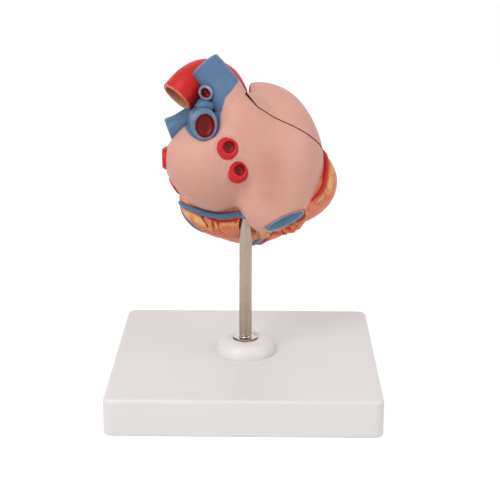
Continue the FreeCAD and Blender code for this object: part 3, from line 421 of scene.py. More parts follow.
# %% The planes that part the castings
ROOF_PLANE = ((0.414, 0.414, 0.811), 110.16)
CREST_PLANE = ((0.714, 0.062, 0.726), 104.0)
WALL_PLANE = ((0.0, 0.914, 0.406), 54.5)
AORTA_PLANE = ((0.957, 0.0, 0.29), 41.6)
SHELF_PLANE = ((0.0, 0.30, -0.954), -93.2)
APRON_PLANE = ((0.0, 1.0, 0.0), 29.5)
TRUNK_PLANE = ((0.0, 0.30, -0.954), -105.5)
ABOVE_TRUNK_PLANE = ((0.0, -0.30, 0.954), 105.5)
SEPTAL_PLANE = ((0.907, 0.0, 0.42), 43.0)
VENTRICULAR_SEPTUM = ((0.93, -0.20, 0.31), 26.3)
SEPTUM_HALF = 2.4
AURICLE_EDGE = 40.5
AURICLE_RAMP = 4.0
LOWER_CAVA_MOUTH = np.array((18.4, -8.0, 84.7))
LOWER_CAVA_AXIS = unit((0.44, -0.44, -0.78))
MOUTH_PLANE = (LOWER_CAVA_AXIS, float(LOWER_CAVA_AXIS @ LOWER_CAVA_MOUTH))


# %% Fullness, and how far out the skin is
def fullness(points, lobes):
    """Sum over lobes of exp(B (1 - q)), with q = sum of ((p - centre) . axis / half length)^2."""
    total = np.zeros(points.shape[:-1])
    for centre, half, axes in lobes:
        offset = (points - np.array(centre)) @ (axes.T / np.array(half))
        total += np.exp(BLEND * (1.0 - (offset * offset).sum(-1)))
    return total


def atrial_skin(points):
    """Above one inside the atria. The auricle's lobe fades out beside the aorta."""
    rise = (points @ np.array(AORTA_PLANE[0]) - AURICLE_EDGE) / AURICLE_RAMP
    return fullness(points, ATRIAL_LOBES) + smooth_step(0.0, 1.0, rise) * fullness(points, AURICLE_LOBE)


def ventricle_skin(points):
    """Above one inside the ventricles' outer surface."""
    return fullness(points, VENTRICLE_LOBES)


def heart_skin(points):
    """Above one inside the whole heart, whose atria end at the lower caval vein's mouth."""
    atria = np.where(in_front(MOUTH_PLANE, points) > 0.0, 0.0, atrial_skin(points))
    return np.maximum(atria, ventricle_skin(points))


def reach(skin, start, directions, farthest=56.0, halvings=12):
    """Distance from start to the outermost skin in each direction: step in a millimetre at a time

    until the skin's value is one or more, then halve the last step again and again."""
    shape = directions.shape[:-1]
    directions = directions.reshape(-1, 3)
    distance = np.full(len(directions), farthest)
    active = np.arange(len(directions))
    while len(active):
        value = skin(start + directions[active] * distance[active, None])
        active = active[(value < 1.0) & (distance[active] > 0.0)]
        distance[active] -= 1.0
    inside = distance
    outside = distance + 1.0
    for _ in range(halvings):
        middle = (inside + outside) / 2.0
        beyond = skin(start + directions * middle[:, None]) < 1.0
        outside = np.where(beyond, middle, outside)
        inside = np.where(beyond, inside, middle)
    return ((inside + outside) / 2.0).reshape(shape)


def directions_about(pole, rings, spokes):
    """Unit directions of a ball: angle from the pole for each ring, turn about it for each spoke."""
    axis, side, other = axes_along(pole, (0.0, 1.0, 0.1))
    polar = np.pi * (np.arange(rings) + 0.5) / rings
    outward = round_about(side, other, turns(spokes))
    return axis * np.cos(polar)[:, None, None] + outward[None] * np.sin(polar)[:, None, None]


def skin_grid(skin, start, pole, rings, spokes, inset=0.0, relief=None):
    """Rings of a skin seen from start: start + direction * (reach - inset + relief at that point)."""
    directions = directions_about(pole, rings, spokes)
    distance = reach(skin, start, directions) - inset
    if relief is not None:
        distance = distance + relief(start + directions * distance[..., None])
    return start + directions * distance[..., None]


# %% [markdown]
# ## Relief on the skins
# A moulded seam is never razor sharp: each half's edge is rounded, so a seam reads as a fine dark
# groove. The rounding here lowers the skin near a seam along a quarter circle. On the dome of the
# auricle a few faint creases follow the seam, and the vein stubs stand in soft collars. The
# ventricles carry long muscle fibres, and cobbled fat where their groove runs.

# %% Where the seams are
SEAM_ROUND = 0.8


def auricle_zone_value(points):
    """Positive where the atria belong to the front wall, as a distance from its nearest face."""
    roof = np.minimum(in_front(ROOF_PLANE, points), in_front(CREST_PLANE, points))
    return np.minimum(np.maximum(roof, in_front(WALL_PLANE, points)), in_front(AORTA_PLANE, points))


def wall_zone_value(points):
    """Positive where the ventricles belong to the front wall."""
    free = np.maximum(in_front(SHELF_PLANE, points), in_front(APRON_PLANE, points))
    free = np.maximum(free, in_front(AORTA_PLANE, points))
    return np.minimum(in_front(WALL_PLANE, points), free)


def rounding(distance, radius):
    """Depth of a quarter-circle edge: r (1 - sqrt(1 - (1 - d / r)^2)) where d is less than r."""
    near = np.clip(1.0 - np.abs(distance) / radius, 0.0, 1.0)
    return radius * (1.0 - np.sqrt(1.0 - near * near))


# %% Lung veins and vessels, as points and radii
LUNG_VEINS = {
    "right_upper_lung_vein": ((-8.2, -19.0, 121.4), (0.16, -0.95, 0.26)),
    "right_lower_lung_vein": ((-3.8, -18.0, 111.2), (0.22, -0.94, 0.20)),
    "left_upper_lung_vein": ((-36.2, -4.4, 113.8), (-0.98, -0.10, 0.0)),
    "left_lower_lung_vein": ((-31.4, -4.9, 101.9), (-0.83, -0.05, -0.52)),
}
LUNG_VEIN_SUNK = 3.0
LUNG_VEIN_PROUD = 2.6
LUNG_VEIN_RADII = (6.0, 5.6, 4.9)
COLLAR_SWELL = 0.45
COLLAR_AT = 6.3
COLLAR_SOFTNESS = 1.3


def vein_collars(points):
    """A soft raised ring round each vein stub: a bell curve of the distance from the stub's line."""
    height = np.zeros(points.shape[:-1])
    for root, way in LUNG_VEINS.values():
        offset = points - np.array(root)
        across = length_of(offset - (offset @ unit(way))[..., None] * unit(way))[..., 0]
        near = length_of(offset)[..., 0] < 2 * COLLAR_AT
        height += near * np.exp(-((across - COLLAR_AT) / COLLAR_SOFTNESS) ** 2)
    return COLLAR_SWELL * height


CREASES = ((2.0, 0.10, 5.0), (3.3, 0.14, 12.0), (4.7, 0.09, 19.0))   # height over seam, depth, seed


def dome_creases(points):
    """Faint grooves above the seam: narrow bell curves of the height over it, which wander a little."""
    height = in_front(ROOF_PLANE, points)
    side = smooth_step(3.0, 10.0, points[..., 0]) * (1.0 - smooth_step(22.0, 29.0, points[..., 0]))
    behind = 1.0 - smooth_step(2.0, 8.0, points[..., 1])
    depth = np.zeros(points.shape[:-1])
    for level, deep, seed in CREASES:
        wander = 0.5 * ripple(points, 14.0, int(seed))
        depth += deep * np.exp(-((height - level - wander) / 0.28) ** 2)
    return depth * side * behind


def atrial_relief(points):
    """Waviness, collars and creases, less the rounding along the seams."""
    swell = 0.16 * ripple(points, 17.0, 3) + 0.05 * ripple(points, 5.0, 4)
    seams = rounding(auricle_zone_value(points), SEAM_ROUND)
    return swell + vein_collars(points) - dome_creases(points) - seams


# %% Fibres and fat on the ventricles
FAT_SPOTS = [                      # centre and radius of the areas where fat is modelled on the muscle
    ((-27.0, 4.2, 85.5), 7.0), ((-22.5, 1.0, 84.5), 6.0), ((-17.5, 0.5, 82.0), 4.5),
    ((-11.5, -2.0, 82.4), 3.0), ((-6.4, -3.0, 83.2), 2.8), ((-2.7, -3.7, 84.0), 2.6),
    ((8.5, 4.0, 76.0), 6.0), ((15.0, 7.0, 75.0), 7.0), ((38.5, 8.0, 108.5), 5.0),
    ((38.0, -1.0, 101.0), 4.5), ((-14.0, 40.0, 104.0), 7.0), ((-10.0, 48.0, 90.0), 6.0),
    ((26.0, 26.0, 115.0), 6.0),
]
TORN_SPOTS = [                     # centre and radius of the areas where the fat is torn open
    ((-18.5, 1.5, 80.5), 6.0), ((-14.0, 1.0, 79.0), 5.0), ((5.0, 0.0, 78.5), 4.5), ((6.0, 8.0, 73.0), 4.0),
]
STRAND_AXES = axes_along((0.55, 0.25, -0.80))


def spotted(points, spots, ragged):
    """Near one within any of the spots, with a ragged edge: the largest of 1 - distance / radius."""
    most = np.full(points.shape[:-1], -9.0)
    for centre, size in spots:
        most = np.maximum(most, 1.0 - length_of(points - np.array(centre))[..., 0] / size)
    return smooth_step(-0.12, 0.22, most + ragged * ripple(points, 6.5, 21))


def fatness(points):
    """Near one where fat lies on the muscle."""
    return spotted(points, FAT_SPOTS, 0.22)


def strands(points):
    """Torn strands: near one in narrow creases where a ripple, drawn out along one way, crosses zero."""
    drawn_out = points @ STRAND_AXES.T * np.array((0.35, 1.0, 1.0))
    return 1.0 - smooth_step(0.02, 0.34, np.abs(ripple(drawn_out, 4.4, 23, 8)))


def torn(points):
    """Depth of the tears, from 0 to 1."""
    return spotted(points, TORN_SPOTS, 0.30) * strands(points)


def fat_crest(points):
    """One on smooth fat, less in the shallow creases between lobules, and nought in the tears."""
    creases = (1.0 - lumps(points, 5.2, 5.0)) ** 3
    return np.clip(1.0 - 0.6 * creases - torn(points) - 0.25 * strands(points), 0.0, 1.0)


def fibres(points):
    """Muscle fibres that spiral round the long axis: ripples that are long one way and fine the other."""
    local = (points - VENTRICLE_HEART) @ LONG.T
    turn = np.arctan2(local[..., 2], local[..., 1])
    fine = 26.0 * turn + 0.55 * local[..., 0]
    stretched = np.stack([fine, 0.16 * local[..., 0], 0.16 * local[..., 1]], -1)
    return ripple(stretched, 2.6, 8, 12)


def ventricle_relief(points):
    """Fibres, fat and tears in millimetres, less the rounding along the seams."""
    fat = fatness(points)
    muscle = 0.15 * fibres(points) + 0.20 * ripple(points, 14.0, 6)
    surface = muscle * (1.0 - 0.6 * fat) + 0.55 * fat * (fat_crest(points) - 0.7) - 0.7 * torn(points)
    return surface - rounding(wall_zone_value(points), SEAM_ROUND)


# %% [markdown]
# ## The skins as closed solids
# A fine grid carries the relief. While trying things out, a coarser one saves time.

# %% Make the skins
SKIN_MESH = ((300, 440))      # rings and spokes of each grid
HOLLOW_MESH = (110, 160)
GROWN_MESH = (120, 180)
CHAMBER_MESH = (100, 140)
EAR_MESH = (110, 150)
GROWN_BY = PARTING_GAP + 0.2


def atrial_ball(name, mesh, inset=0.0, relief=None):
    """The atria's skin as a closed solid, moved inwards by inset."""
    return ball(name, skin_grid(atrial_skin, ATRIAL_HEART, CAVAL_POLES, *mesh, inset, relief))


def hollow_relief(points):
    """A gentle waviness on the inner wall of the atria."""
    return 0.30 * ripple(points, 5.0, 31)


atria_solid = atrial_ball("tool_atria", SKIN_MESH, relief=atrial_relief)
hollow_solid = atrial_ball("tool_hollow", HOLLOW_MESH, ATRIAL_WALL, hollow_relief)
grown_solid = atrial_ball("tool_grown", GROWN_MESH, -GROWN_BY)
muscle_solid = ball("tool_muscle", skin_grid(ventricle_skin, VENTRICLE_HEART, LONG_AXIS, *SKIN_MESH,
                                             relief=ventricle_relief))


def chamber_relief(points):
    """The ropy inner muscle of a ventricle: ridges where a slow ripple crosses zero."""
    return 0.8 * np.abs(ripple(points, 7.0, 41)) + 0.3 * np.abs(ripple(points, 3.4, 42)) - 0.35


def chamber_solid(name, lobes, pole):
    """The hollow of a ventricle."""
    skin = lambda points: fullness(points, lobes)
    return ball(name, skin_grid(skin, np.array(lobes[0][0]), pole, *CHAMBER_MESH, relief=chamber_relief))


left_hollow = chamber_solid("tool_left_hollow", LEFT_CHAMBER, LONG_AXIS)
right_hollow = chamber_solid("tool_right_hollow", RIGHT_CHAMBER, RIGHT_CHAMBER_POLES)
for solid in (atria_solid, hollow_solid, muscle_solid, left_hollow, right_hollow):
    print(solid.name, len(solid.data.polygons), "faces")


# %% Cutting tools: blocks and bars
BLOCK = 300.0           # half a block's width across, and twice its depth: far more than the heart
BAR_SPOKES = 96
SEAT_TIGHT = 0.05       # a seat is cut this much smaller than what sits in it, so that no gap shows


def block(plane, gap=0.0):
    """A large box on the front side of a plane."""
    normal, side, other = axes_along(plane[0], (0.13, 0.2, 0.97))
    level = plane[1] / np.linalg.norm(plane[0]) + gap
    foot = VENTRICLE_HEART + normal * (level - normal @ VENTRICLE_HEART)
    ring = round_about(side, other, np.arange(4) * np.pi / 2) * BLOCK
    return ball("tool_block", np.stack([foot + ring, foot + normal * BLOCK / 2 + ring]))


def bar(start, end, radius, spokes=BAR_SPOKES):
    """A plain round bar between two points."""
    line = np.array((start, end), float)
    ends = np.array((0.0, line_length(line)))
    return ball("tool_bar", carry(line, ends, np.array((radius, radius)), spokes))


def auricle_tool(gap, crest=CREST_PLANE):
    """The space of the front wall among the atria, as a closed solid."""
    roof = block(ROOF_PLANE, gap)
    crest_block = block(crest, gap)
    cut(roof, [], keep=[crest_block])
    wall = block(WALL_PLANE, gap)
    aorta_side = block(AORTA_PLANE, gap)
    merged(roof, [wall])
    cut(roof, [], keep=[aorta_side])
    discard(crest_block, wall, aorta_side)
    return roof


def wall_tool(gap):
    """The space of the front wall among the ventricles, as a closed solid."""
    planes = (SHELF_PLANE, APRON_PLANE, AORTA_PLANE, WALL_PLANE)
    shelf, apron, aorta_side, wall = (block(plane, gap) for plane in planes)
    merged(shelf, [apron, aorta_side])
    cut(shelf, [], keep=[wall])
    discard(apron, aorta_side, wall)
    return shelf


# %% [markdown]
# ## Great vessels
# Each vessel is a tube along a smooth line. What catches the eye is its cut end: a wall of real
# thickness, a rounded lip, and a bore painted in a colour of its own; where that colour is a deep
# red, its darkness is partly painted shade. A through tube is a doughnut-like surface: out along the
# wall, round the lip, back down the bore. A stub whose bore is only a few millimetres deep is a
# ball-like surface that ends in a floor.

# %% Vessel lines and sizes
AORTA_LINE = smooth_line([(-5.0, 20.0, 109.0), (-5.5, 20.0, 121.0), (-6.5, 19.5, 131.0),
                          (-7.4, 18.0, 138.7), (-11.6, 13.6, 146.6), (-19.0, 8.0, 149.8),
                          (-25.6, 3.0, 147.6), (-31.9, -1.0, 141.3)])
AORTA_RADIUS = 8.25
AORTA_WALL = 1.6
UPPER_CAVA_LINE = smooth_line([(-3.5, -6.5, 133.0), (-7.9, -4.5, 141.7), (-12.3, -2.6, 148.9),
                               (-19.2, 0.0, 156.5)])
UPPER_CAVA_RADII = (9.6, 8.6, 7.7, 7.5)
CAVA_WALL = 1.3
AZYGOS_LINE = smooth_line([(-14.8, -2.5, 146.6), (-16.6, -6.0, 145.9), (-18.3, -10.4, 145.1)], 24)
AZYGOS_RADIUS = 3.6
AZYGOS_WALL = 1.4
TRUNK_LINE = smooth_line([(-1.0, 37.0, 113.0), (-2.5, 37.0, 119.0), (-9.0, 36.0, 126.5),
                          (-18.0, 31.0, 129.5), (-23.0, 21.0, 130.5), (-22.5, 10.0, 131.0)])
TRUNK_RADIUS = 6.8
RIGHT_BRANCH_LINE = smooth_line([(-20.0, 12.0, 131.0), (-21.0, 0.0, 131.0), (-20.0, -11.0, 131.6),
                                 (-18.3, -20.0, 132.8)])
RIGHT_BRANCH_RADIUS = 7.3
RIGHT_BRANCH_BORE = 5.1
RIGHT_BRANCH_OVAL = 0.83                # its width over its height
RIGHT_BRANCH_SHIFT = (0.3, -0.75)       # its bore lies this far off centre, in x and z
LEFT_BRANCH_LINE = smooth_line([(-20.5, 6.0, 133.0), (-26.0, 0.7, 130.9), (-31.15, -2.45, 128.35),
                                (-35.8, -3.0, 126.6)])
LEFT_BRANCH_RADIUS = 5.6
BRANCH_WALL = 2.0
LOWER_CAVA_BORE = 10.2
LOWER_CAVA_LINER = 1.0
LOWER_CAVA_DEPTH = 11.0


# %% Profiles for tubes with a lip
FLOOR_DISH = 0.35           # depth of a stub's dished floor, as a share of its bore's radius


def lip(end, outer, bore, points=9):
    """The half circle that joins wall and bore: centre at mid wall, radius half the wall."""
    half = (outer - bore) / 2.0
    angle = np.linspace(np.pi / 2, -np.pi / 2, points)
    return end - half + half * np.cos(angle), (outer + bore) / 2.0 + half * np.sin(angle)


def wall_to_bore(length, outer, bore, end, rows, bore_rows):
    """Distances and radii up the wall, round the lip, and down the bore to a distance."""
    out_s = np.linspace(0.0, length, rows)
    out_r = outer(out_s)
    lip_s, lip_r = lip(length, out_r[-1], bore)
    keep = out_s < lip_s[0]
    in_s = np.linspace(lip_s[-1], end, bore_rows)[1:]
    return (np.concatenate([out_s[keep], lip_s, in_s]),
            np.concatenate([out_r[keep], lip_r, np.full(len(in_s), bore)]))


def through_profile(length, outer, wall, rows=60):
    """Distances and radii of a tube open at both ends: wall, lip at the far end, bore, plain foot."""
    return wall_to_bore(length, outer, outer(length) - wall, 0.0, rows, rows)


def blind_profile(length, outer, bore, depth):
    """Distances and radii of a stub: a closed foot, wall, lip, bore and a dished floor at a depth."""
    side_s, side_r = wall_to_bore(length, outer, bore, length - depth, 40, 10)
    angle = np.linspace(0.0, np.pi / 2, 7)[1:-1]
    floor_s = length - depth - FLOOR_DISH * bore * np.sin(angle)
    return np.concatenate([side_s, floor_s]), np.concatenate([side_r, bore * np.cos(angle)])


def evenly(radii, length):
    """A radius that changes evenly along a length between those given."""
    marks = np.linspace(0.0, length, len(radii))
    return lambda s: np.interp(s, marks, radii)


def oval(grid, share):
    """Narrows every ring of a tube in x to a share of its width."""
    centre = grid.mean(1, keepdims=True)
    return centre + (grid - centre) * np.array((share, 1.0, 1.0))


def plain_bar(line, radii, overrun=0.0, width=1.0):
    """A solid bar along a line, used to cut a seat or a bore."""
    length = line_length(line)
    distances = np.linspace(-overrun, length + overrun, 60)
    rings = carry(line, distances, evenly(radii, length)(distances), BAR_SPOKES)
    return ball("tool_vessel", oval(rings, width))


def out_of_round(profile, spokes, amount, seed):
    """Radii that vary a little round a ring, as a hand-finished casting's do.

    The share added is the sum of cos(k turn + phase) / k over k = 2, 3, 5, times the amount."""
    dice = np.random.default_rng(seed)
    turn = turns(spokes)
    wave = sum(np.cos(k * turn + dice.uniform(0, 2 * np.pi)) / k for k in (2, 3, 5))
    return profile[:, None] * (1.0 + amount * wave[None, :])


def inside_share(points, line, middle, softness=0.25):
    """One in the bore and nought on the wall, from the distance to the vessel's line."""
    marks, along, _ = line_frame(line)
    stops = np.linspace(marks[0], marks[-1], 260)
    centres = np.stack([np.interp(stops, marks, along[:, k]) for k in range(3)], -1)
    nearest = np.full(len(points), 1e9)
    for centre in centres:
        nearest = np.minimum(nearest, ((points - centre) ** 2).sum(-1))
    return 1.0 - smooth_step(middle - softness, middle + softness, np.sqrt(nearest))


# %% Make the vessels
TUBE_SPOKES = 112
BLIND_UNEVEN = 0.012        # how far a stub's rings are out of round, as a share


def through_vessel(name, line, radii, wall, seed, amount=0.008):
    """A tube open at both ends, slightly out of round."""
    length = line_length(line)
    distances, profile = through_profile(length, evenly(radii, length), wall)
    uneven = out_of_round(profile, TUBE_SPOKES, amount, seed)
    return doughnut(name, carry(line, distances, uneven, TUBE_SPOKES))


def off_centre(grid, profile, bore, outer, shift):
    """Moves a bore's rings sideways in x and z, by a share that fades to nought across the lip."""
    moved = 1.0 - smooth_step(bore, outer, profile)
    moved[:len(profile) // 2] = 0.0
    return grid + (moved[:, None] * np.array((shift[0], 0.0, shift[1])))[:, None, :]


def blind_vessel(name, line, radius, bore, depth, seed, shift=(0.0, 0.0), width=1.0):
    """A stub whose bore ends in a floor, and may lie off centre."""
    length = line_length(line)
    distances, profile = blind_profile(length, evenly((radius, radius), length), bore, depth)
    uneven = out_of_round(profile, BAR_SPOKES, BLIND_UNEVEN, seed)
    grid = oval(carry(line, distances, uneven, BAR_SPOKES), width)
    return ball(name, off_centre(grid, profile, bore, radius, shift))


def rim_share(points, line, width=1.0, reach_of_rim=14.0):
    """One on a vessel's cut end, fading to nought a little way back along its wall."""
    _, _, ways = line_frame(line)
    offset = points - line[-1]
    near = length_of(offset)[..., 0] < reach_of_rim
    return smooth_step(-width, -0.3 * width, offset @ ways[-1]) * near


WEB_LINE = smooth_line([(-18.6, 4.0, 138.6), (-18.4, -4.0, 138.9), (-18.0, -12.0, 138.9)], 24)
WEB_RADIUS = 3.1            # the web that joins the right lung artery to the azygos stub
WEB_WIDTH = 1.45            # its width over its height
WEB_RINGS = 40
WEB_SPOKES = 48
WEB_TIP = 0.004             # keeps its end rings from shrinking to a point
AZYGOS_DEPTH = 2.6
RIGHT_BRANCH_DEPTH = 3.6
LEFT_BRANCH_DEPTH = 6.0


def web():
    """An oval bar whose radius follows sqrt(1 - place^6), with place from -1 to 1 along it."""
    place = np.linspace(-1.0, 1.0, WEB_RINGS)
    swell = np.sqrt(np.clip(1.0 - place ** 6, WEB_TIP, 1.0))
    distances = np.linspace(0.0, line_length(WEB_LINE), WEB_RINGS)
    return ball("tool_web", oval(carry(WEB_LINE, distances, WEB_RADIUS * swell, WEB_SPOKES), WEB_WIDTH))


aorta_bar = plain_bar(AORTA_LINE, [AORTA_RADIUS - SEAT_TIGHT] * 2)
cava_bar = plain_bar(UPPER_CAVA_LINE, np.array(UPPER_CAVA_RADII) - SEAT_TIGHT)
cava_bore = plain_bar(UPPER_CAVA_LINE, [UPPER_CAVA_RADII[-1] - CAVA_WALL] * 2, 4.0)
right_bar = plain_bar(RIGHT_BRANCH_LINE, [RIGHT_BRANCH_RADIUS - SEAT_TIGHT] * 2, 0.0, RIGHT_BRANCH_OVAL)
trunk_bar = plain_bar(TRUNK_LINE, [TRUNK_RADIUS - SEAT_TIGHT] * 2)
trunk_bore = plain_bar(TRUNK_LINE, [TRUNK_RADIUS - BRANCH_WALL] * 2, 3.0)

aorta = cut(through_vessel("cast_aorta_arch", AORTA_LINE, [AORTA_RADIUS] * 2, AORTA_WALL, 11), [atria_solid])
cava = through_vessel("cast_upper_cava", UPPER_CAVA_LINE, UPPER_CAVA_RADII, CAVA_WALL, 12, 0.010)
cut(cava, [atria_solid, aorta_bar])
azygos = blind_vessel("cast_azygos_stub", AZYGOS_LINE, AZYGOS_RADIUS, AZYGOS_RADIUS - AZYGOS_WALL,
                      AZYGOS_DEPTH, 13)
cut(azygos, [cava_bar])
right_artery = blind_vessel("cast_right_lung_artery", RIGHT_BRANCH_LINE, RIGHT_BRANCH_RADIUS,
                            RIGHT_BRANCH_BORE, RIGHT_BRANCH_DEPTH, 14, RIGHT_BRANCH_SHIFT,
                            RIGHT_BRANCH_OVAL)
merged(right_artery, [web()])
cut(right_artery, [cava_bar, aorta_bar])
left_artery = blind_vessel("cast_left_lung_artery", LEFT_BRANCH_LINE, LEFT_BRANCH_RADIUS,
                           LEFT_BRANCH_RADIUS - BRANCH_WALL, LEFT_BRANCH_DEPTH, 15)
cut(left_artery, [atria_solid])
trunk_foot = block(TRUNK_PLANE, -PARTING_GAP)
trunk = cut(through_vessel("cast_pulmonary_trunk", TRUNK_LINE, [TRUNK_RADIUS] * 2, BRANCH_WALL, 16),
            [trunk_foot, aorta_bar, atria_solid])
discard(trunk_foot)
RIGHT_BORE_LINE = RIGHT_BRANCH_LINE + np.array((RIGHT_BRANCH_SHIFT[0], 0.0, RIGHT_BRANCH_SHIFT[1]))
for vessel, line, bore_line, middle in (
        (aorta, AORTA_LINE, AORTA_LINE, AORTA_RADIUS - AORTA_WALL / 2),
        (cava, UPPER_CAVA_LINE, UPPER_CAVA_LINE, UPPER_CAVA_RADII[-1] - CAVA_WALL / 2),
        (azygos, AZYGOS_LINE, AZYGOS_LINE, AZYGOS_RADIUS - AZYGOS_WALL + 0.2),
        (right_artery, RIGHT_BRANCH_LINE, RIGHT_BORE_LINE, RIGHT_BRANCH_BORE + 0.25),
        (left_artery, LEFT_BRANCH_LINE, LEFT_BRANCH_LINE, LEFT_BRANCH_RADIUS - BRANCH_WALL + 0.4),
        (trunk, TRUNK_LINE, TRUNK_LINE, TRUNK_RADIUS - BRANCH_WALL / 2)):
    where = points_of(vessel)
    share = RIGHT_BRANCH_OVAL if vessel is right_artery else 1.0
    widened = bore_line[-1] + (where - bore_line[-1]) / np.array((share, 1.0, 1.0))
    store(vessel, "bore", inside_share(widened, bore_line, middle))
    # where the cut end is painted pale: rubbed paint together with a painted highlight on the lip
    if vessel is not trunk:
        store(vessel, "rim", rim_share(where, line))
    print(vessel.name, len(vessel.data.polygons), "faces")
# where the azygos bore opens on the cava: painted deep red, partly as painted shade in the opening
store(cava, "pocket", inside_share(points_of(cava), AZYGOS_LINE, AZYGOS_RADIUS - AZYGOS_WALL + 0.2))

# %% [markdown]
# ## Lung vein stubs
# Four short red stubs with thick rounded lips. Their outlines are a little angular, because they are
# painted and finished by hand, and their holes sit off centre. The bore's rings are shifted sideways
# to give that.

# %% Make the vein stubs
VEIN_BORES = {"right_upper_lung_vein": (2.5, (0.55, 0.75)), "right_lower_lung_vein": (2.3, (0.75, 0.35)),
              "left_upper_lung_vein": (2.5, (0.2, 0.2)), "left_lower_lung_vein": (2.5, (0.2, 0.1))}
VEIN_DEPTH = 2.4
VEIN_SPOKES = 80
VEIN_UNEVEN = 0.03
VEIN_SEAT_PROUD = 4.0        # a stub's seat is cut this far past its root
VEIN_SEAT_RADIUS = 4.2


def vein_stub(name, root, way, bore, shift, seed):
    """A flared stub, with its bore moved sideways in x and z."""
    way = unit(way)
    root = np.array(root)
    line = np.stack([root - way * LUNG_VEIN_SUNK, root + way * LUNG_VEIN_PROUD])
    length = line_length(line)
    distances, profile = blind_profile(length, evenly(LUNG_VEIN_RADII, length), bore, VEIN_DEPTH)
    grid = carry(line, distances, out_of_round(profile, VEIN_SPOKES, VEIN_UNEVEN, seed), VEIN_SPOKES)
    grid = off_centre(grid, profile, bore, LUNG_VEIN_RADII[-1], shift)
    stub = ball("cast_" + name, grid)
    depth = (points_of(stub) - root) @ way
    centre = root + np.array((shift[0], 0.0, shift[1]))
    across = points_of(stub) - centre
    across = length_of(across - (across @ way)[:, None] * way)[:, 0]
    in_bore = 1.0 - smooth_step(bore - 0.1, bore + 0.35, across)
    store(stub, "bore", in_bore * (depth < LUNG_VEIN_PROUD - 0.2))
    return stub


vein_bars = []
for index, (name, (root, way)) in enumerate(LUNG_VEINS.items()):
    bore, shift = VEIN_BORES[name]
    PIECES[name] = vein_stub(name, root, way, bore, shift, 50 + index)
    centre = np.array(root)
    vein_bars.append(bar(centre - unit(way) * LUNG_VEIN_SUNK, centre + unit(way) * VEIN_SEAT_PROUD,
                         VEIN_SEAT_RADIUS))

# %% [markdown]
# ## The atria
# The shell is the skin less its hollow, less every opening. The seam then parts it into the back
# (left and right atrium) and the right auricle, which belongs to the front wall. Near the aorta the
# two castings don't quite close, so the front piece's crest face is tilted back by a small slope.
# The auricle keeps a wall on its side beside the aorta, so that its edge there isn't left thin.

# %% Cut the atrial shell
ROD_SOCKET = (5.6, 91.0, 110.2)      # radius, bottom and top of the socket inside
ROD_SLOT = (3.06, 55.0)              # radius and bottom of the way for the rod
ROD_MOUTH = (-2.5, 3.3, 86.0)        # the muscle is open in front of the rod: y, radius and top
INLETS = ((np.array((-13.5, 6.0, 93.0)), 7.6), (np.array((19.0, 17.0, 94.0)), 9.0))
INLET_SPAN = (6.0, 8.0)              # how far an inlet's bar reaches before and past its middle
CREST_CORNER = np.array((4.0, -13.0, 139.0))
CREST_SLOPE = 0.085
SEAM_GAP = 0.5                       # what shows between the two castings of the atria
AURICLE_SIDE_WALL = 3.0              # the auricle's wall beside the aorta, from the parting plane inwards

mouth_block = block(MOUTH_PLANE)
passage = bar(LOWER_CAVA_MOUTH - LOWER_CAVA_AXIS * LOWER_CAVA_DEPTH, LOWER_CAVA_MOUTH + LOWER_CAVA_AXIS * 2,
              LOWER_CAVA_BORE)
socket_bar = bar((0, 0, ROD_SOCKET[1]), (0, 0, ROD_SOCKET[2]), ROD_SOCKET[0])
slot_bar = bar((0, 0, ROD_SLOT[1]), (0, 0, ROD_SOCKET[1] + 0.1), ROD_SLOT[0])
inlet_bars = [bar(centre - VALVE_AXIS * INLET_SPAN[0], centre + VALVE_AXIS * INLET_SPAN[1], radius)
              for centre, radius in INLETS]
shell = cut(twin(atria_solid, "tool_shell"),
            [hollow_solid, mouth_block, passage, cava_bore, right_bar, socket_bar, slot_bar]
            + vein_bars + inlet_bars)

crest_normal = unit(CREST_PLANE[0])
toward_aorta = unit(np.cross(crest_normal, (0.0, -1.0, 0.0)))
toward_aorta = toward_aorta * np.sign(toward_aorta[2])
tilted = crest_normal - CREST_SLOPE * toward_aorta
tilted_crest = (tilted, float(CREST_PLANE[1] / np.linalg.norm(CREST_PLANE[0])
                              - CREST_SLOPE * (CREST_CORNER @ toward_aorta)))
back_tool = auricle_tool(0.0)
front_tool = auricle_tool(SEAM_GAP, tilted_crest)
septal_block = block(SEPTAL_PLANE)
back_shell = cut(twin(shell, "tool_back_shell"), [back_tool])
PIECES["left_atrium"] = cut(twin(back_shell, "cast_left_atrium"), [septal_block])
PIECES["right_atrium"] = cut(twin(back_shell, "cast_right_atrium"), [], keep=[septal_block])
side_block = block(AORTA_PLANE, AURICLE_SIDE_WALL)
front_hollow = cut(twin(hollow_solid, "tool_front_hollow"), [], keep=[side_block])
PIECES["right_auricle"] = cut(twin(atria_solid, "cast_right_auricle"), [front_hollow] + inlet_bars,
                              keep=[front_tool])
for name in ("left_atrium", "right_atrium", "right_auricle"):
    print(name, len(PIECES[name].data.polygons), "faces")

# %% [markdown]
# ## The ventricles
# The same steps: skin, less the two chambers, less every seat. The seam parts back from front, and
# two planes part right wall, septum and left wall.

# %% Cut the ventricles
rod_mouth = bar((0, ROD_MOUTH[0], ROD_SLOT[1]), (0, ROD_MOUTH[0], ROD_MOUTH[2]), ROD_MOUTH[1])
above_trunk = block(ABOVE_TRUNK_PLANE)
apron_block = block(APRON_PLANE)
cut(above_trunk, [], keep=[apron_block])
body = cut(twin(muscle_solid, "tool_body"),
           [atria_solid, socket_bar, slot_bar, rod_mouth, left_hollow, right_hollow, aorta_bar, trunk_bore,
            above_trunk, trunk_bar, right_bar, passage])
wall_back = wall_tool(0.0)
wall_front = wall_tool(PARTING_GAP)
back_body = cut(twin(body, "tool_back_body"), [wall_back])
atria_behind = cut(grown_solid, [auricle_tool(PARTING_GAP)])
front_body = cut(twin(body, "tool_front_body"), [atria_behind], keep=[wall_front])
septum_normal, septum_level = VENTRICULAR_SEPTUM
SEPTUM_RIGHT = (septum_normal, septum_level + SEPTUM_HALF)
SEPTUM_LEFT = (septum_normal, septum_level - SEPTUM_HALF)
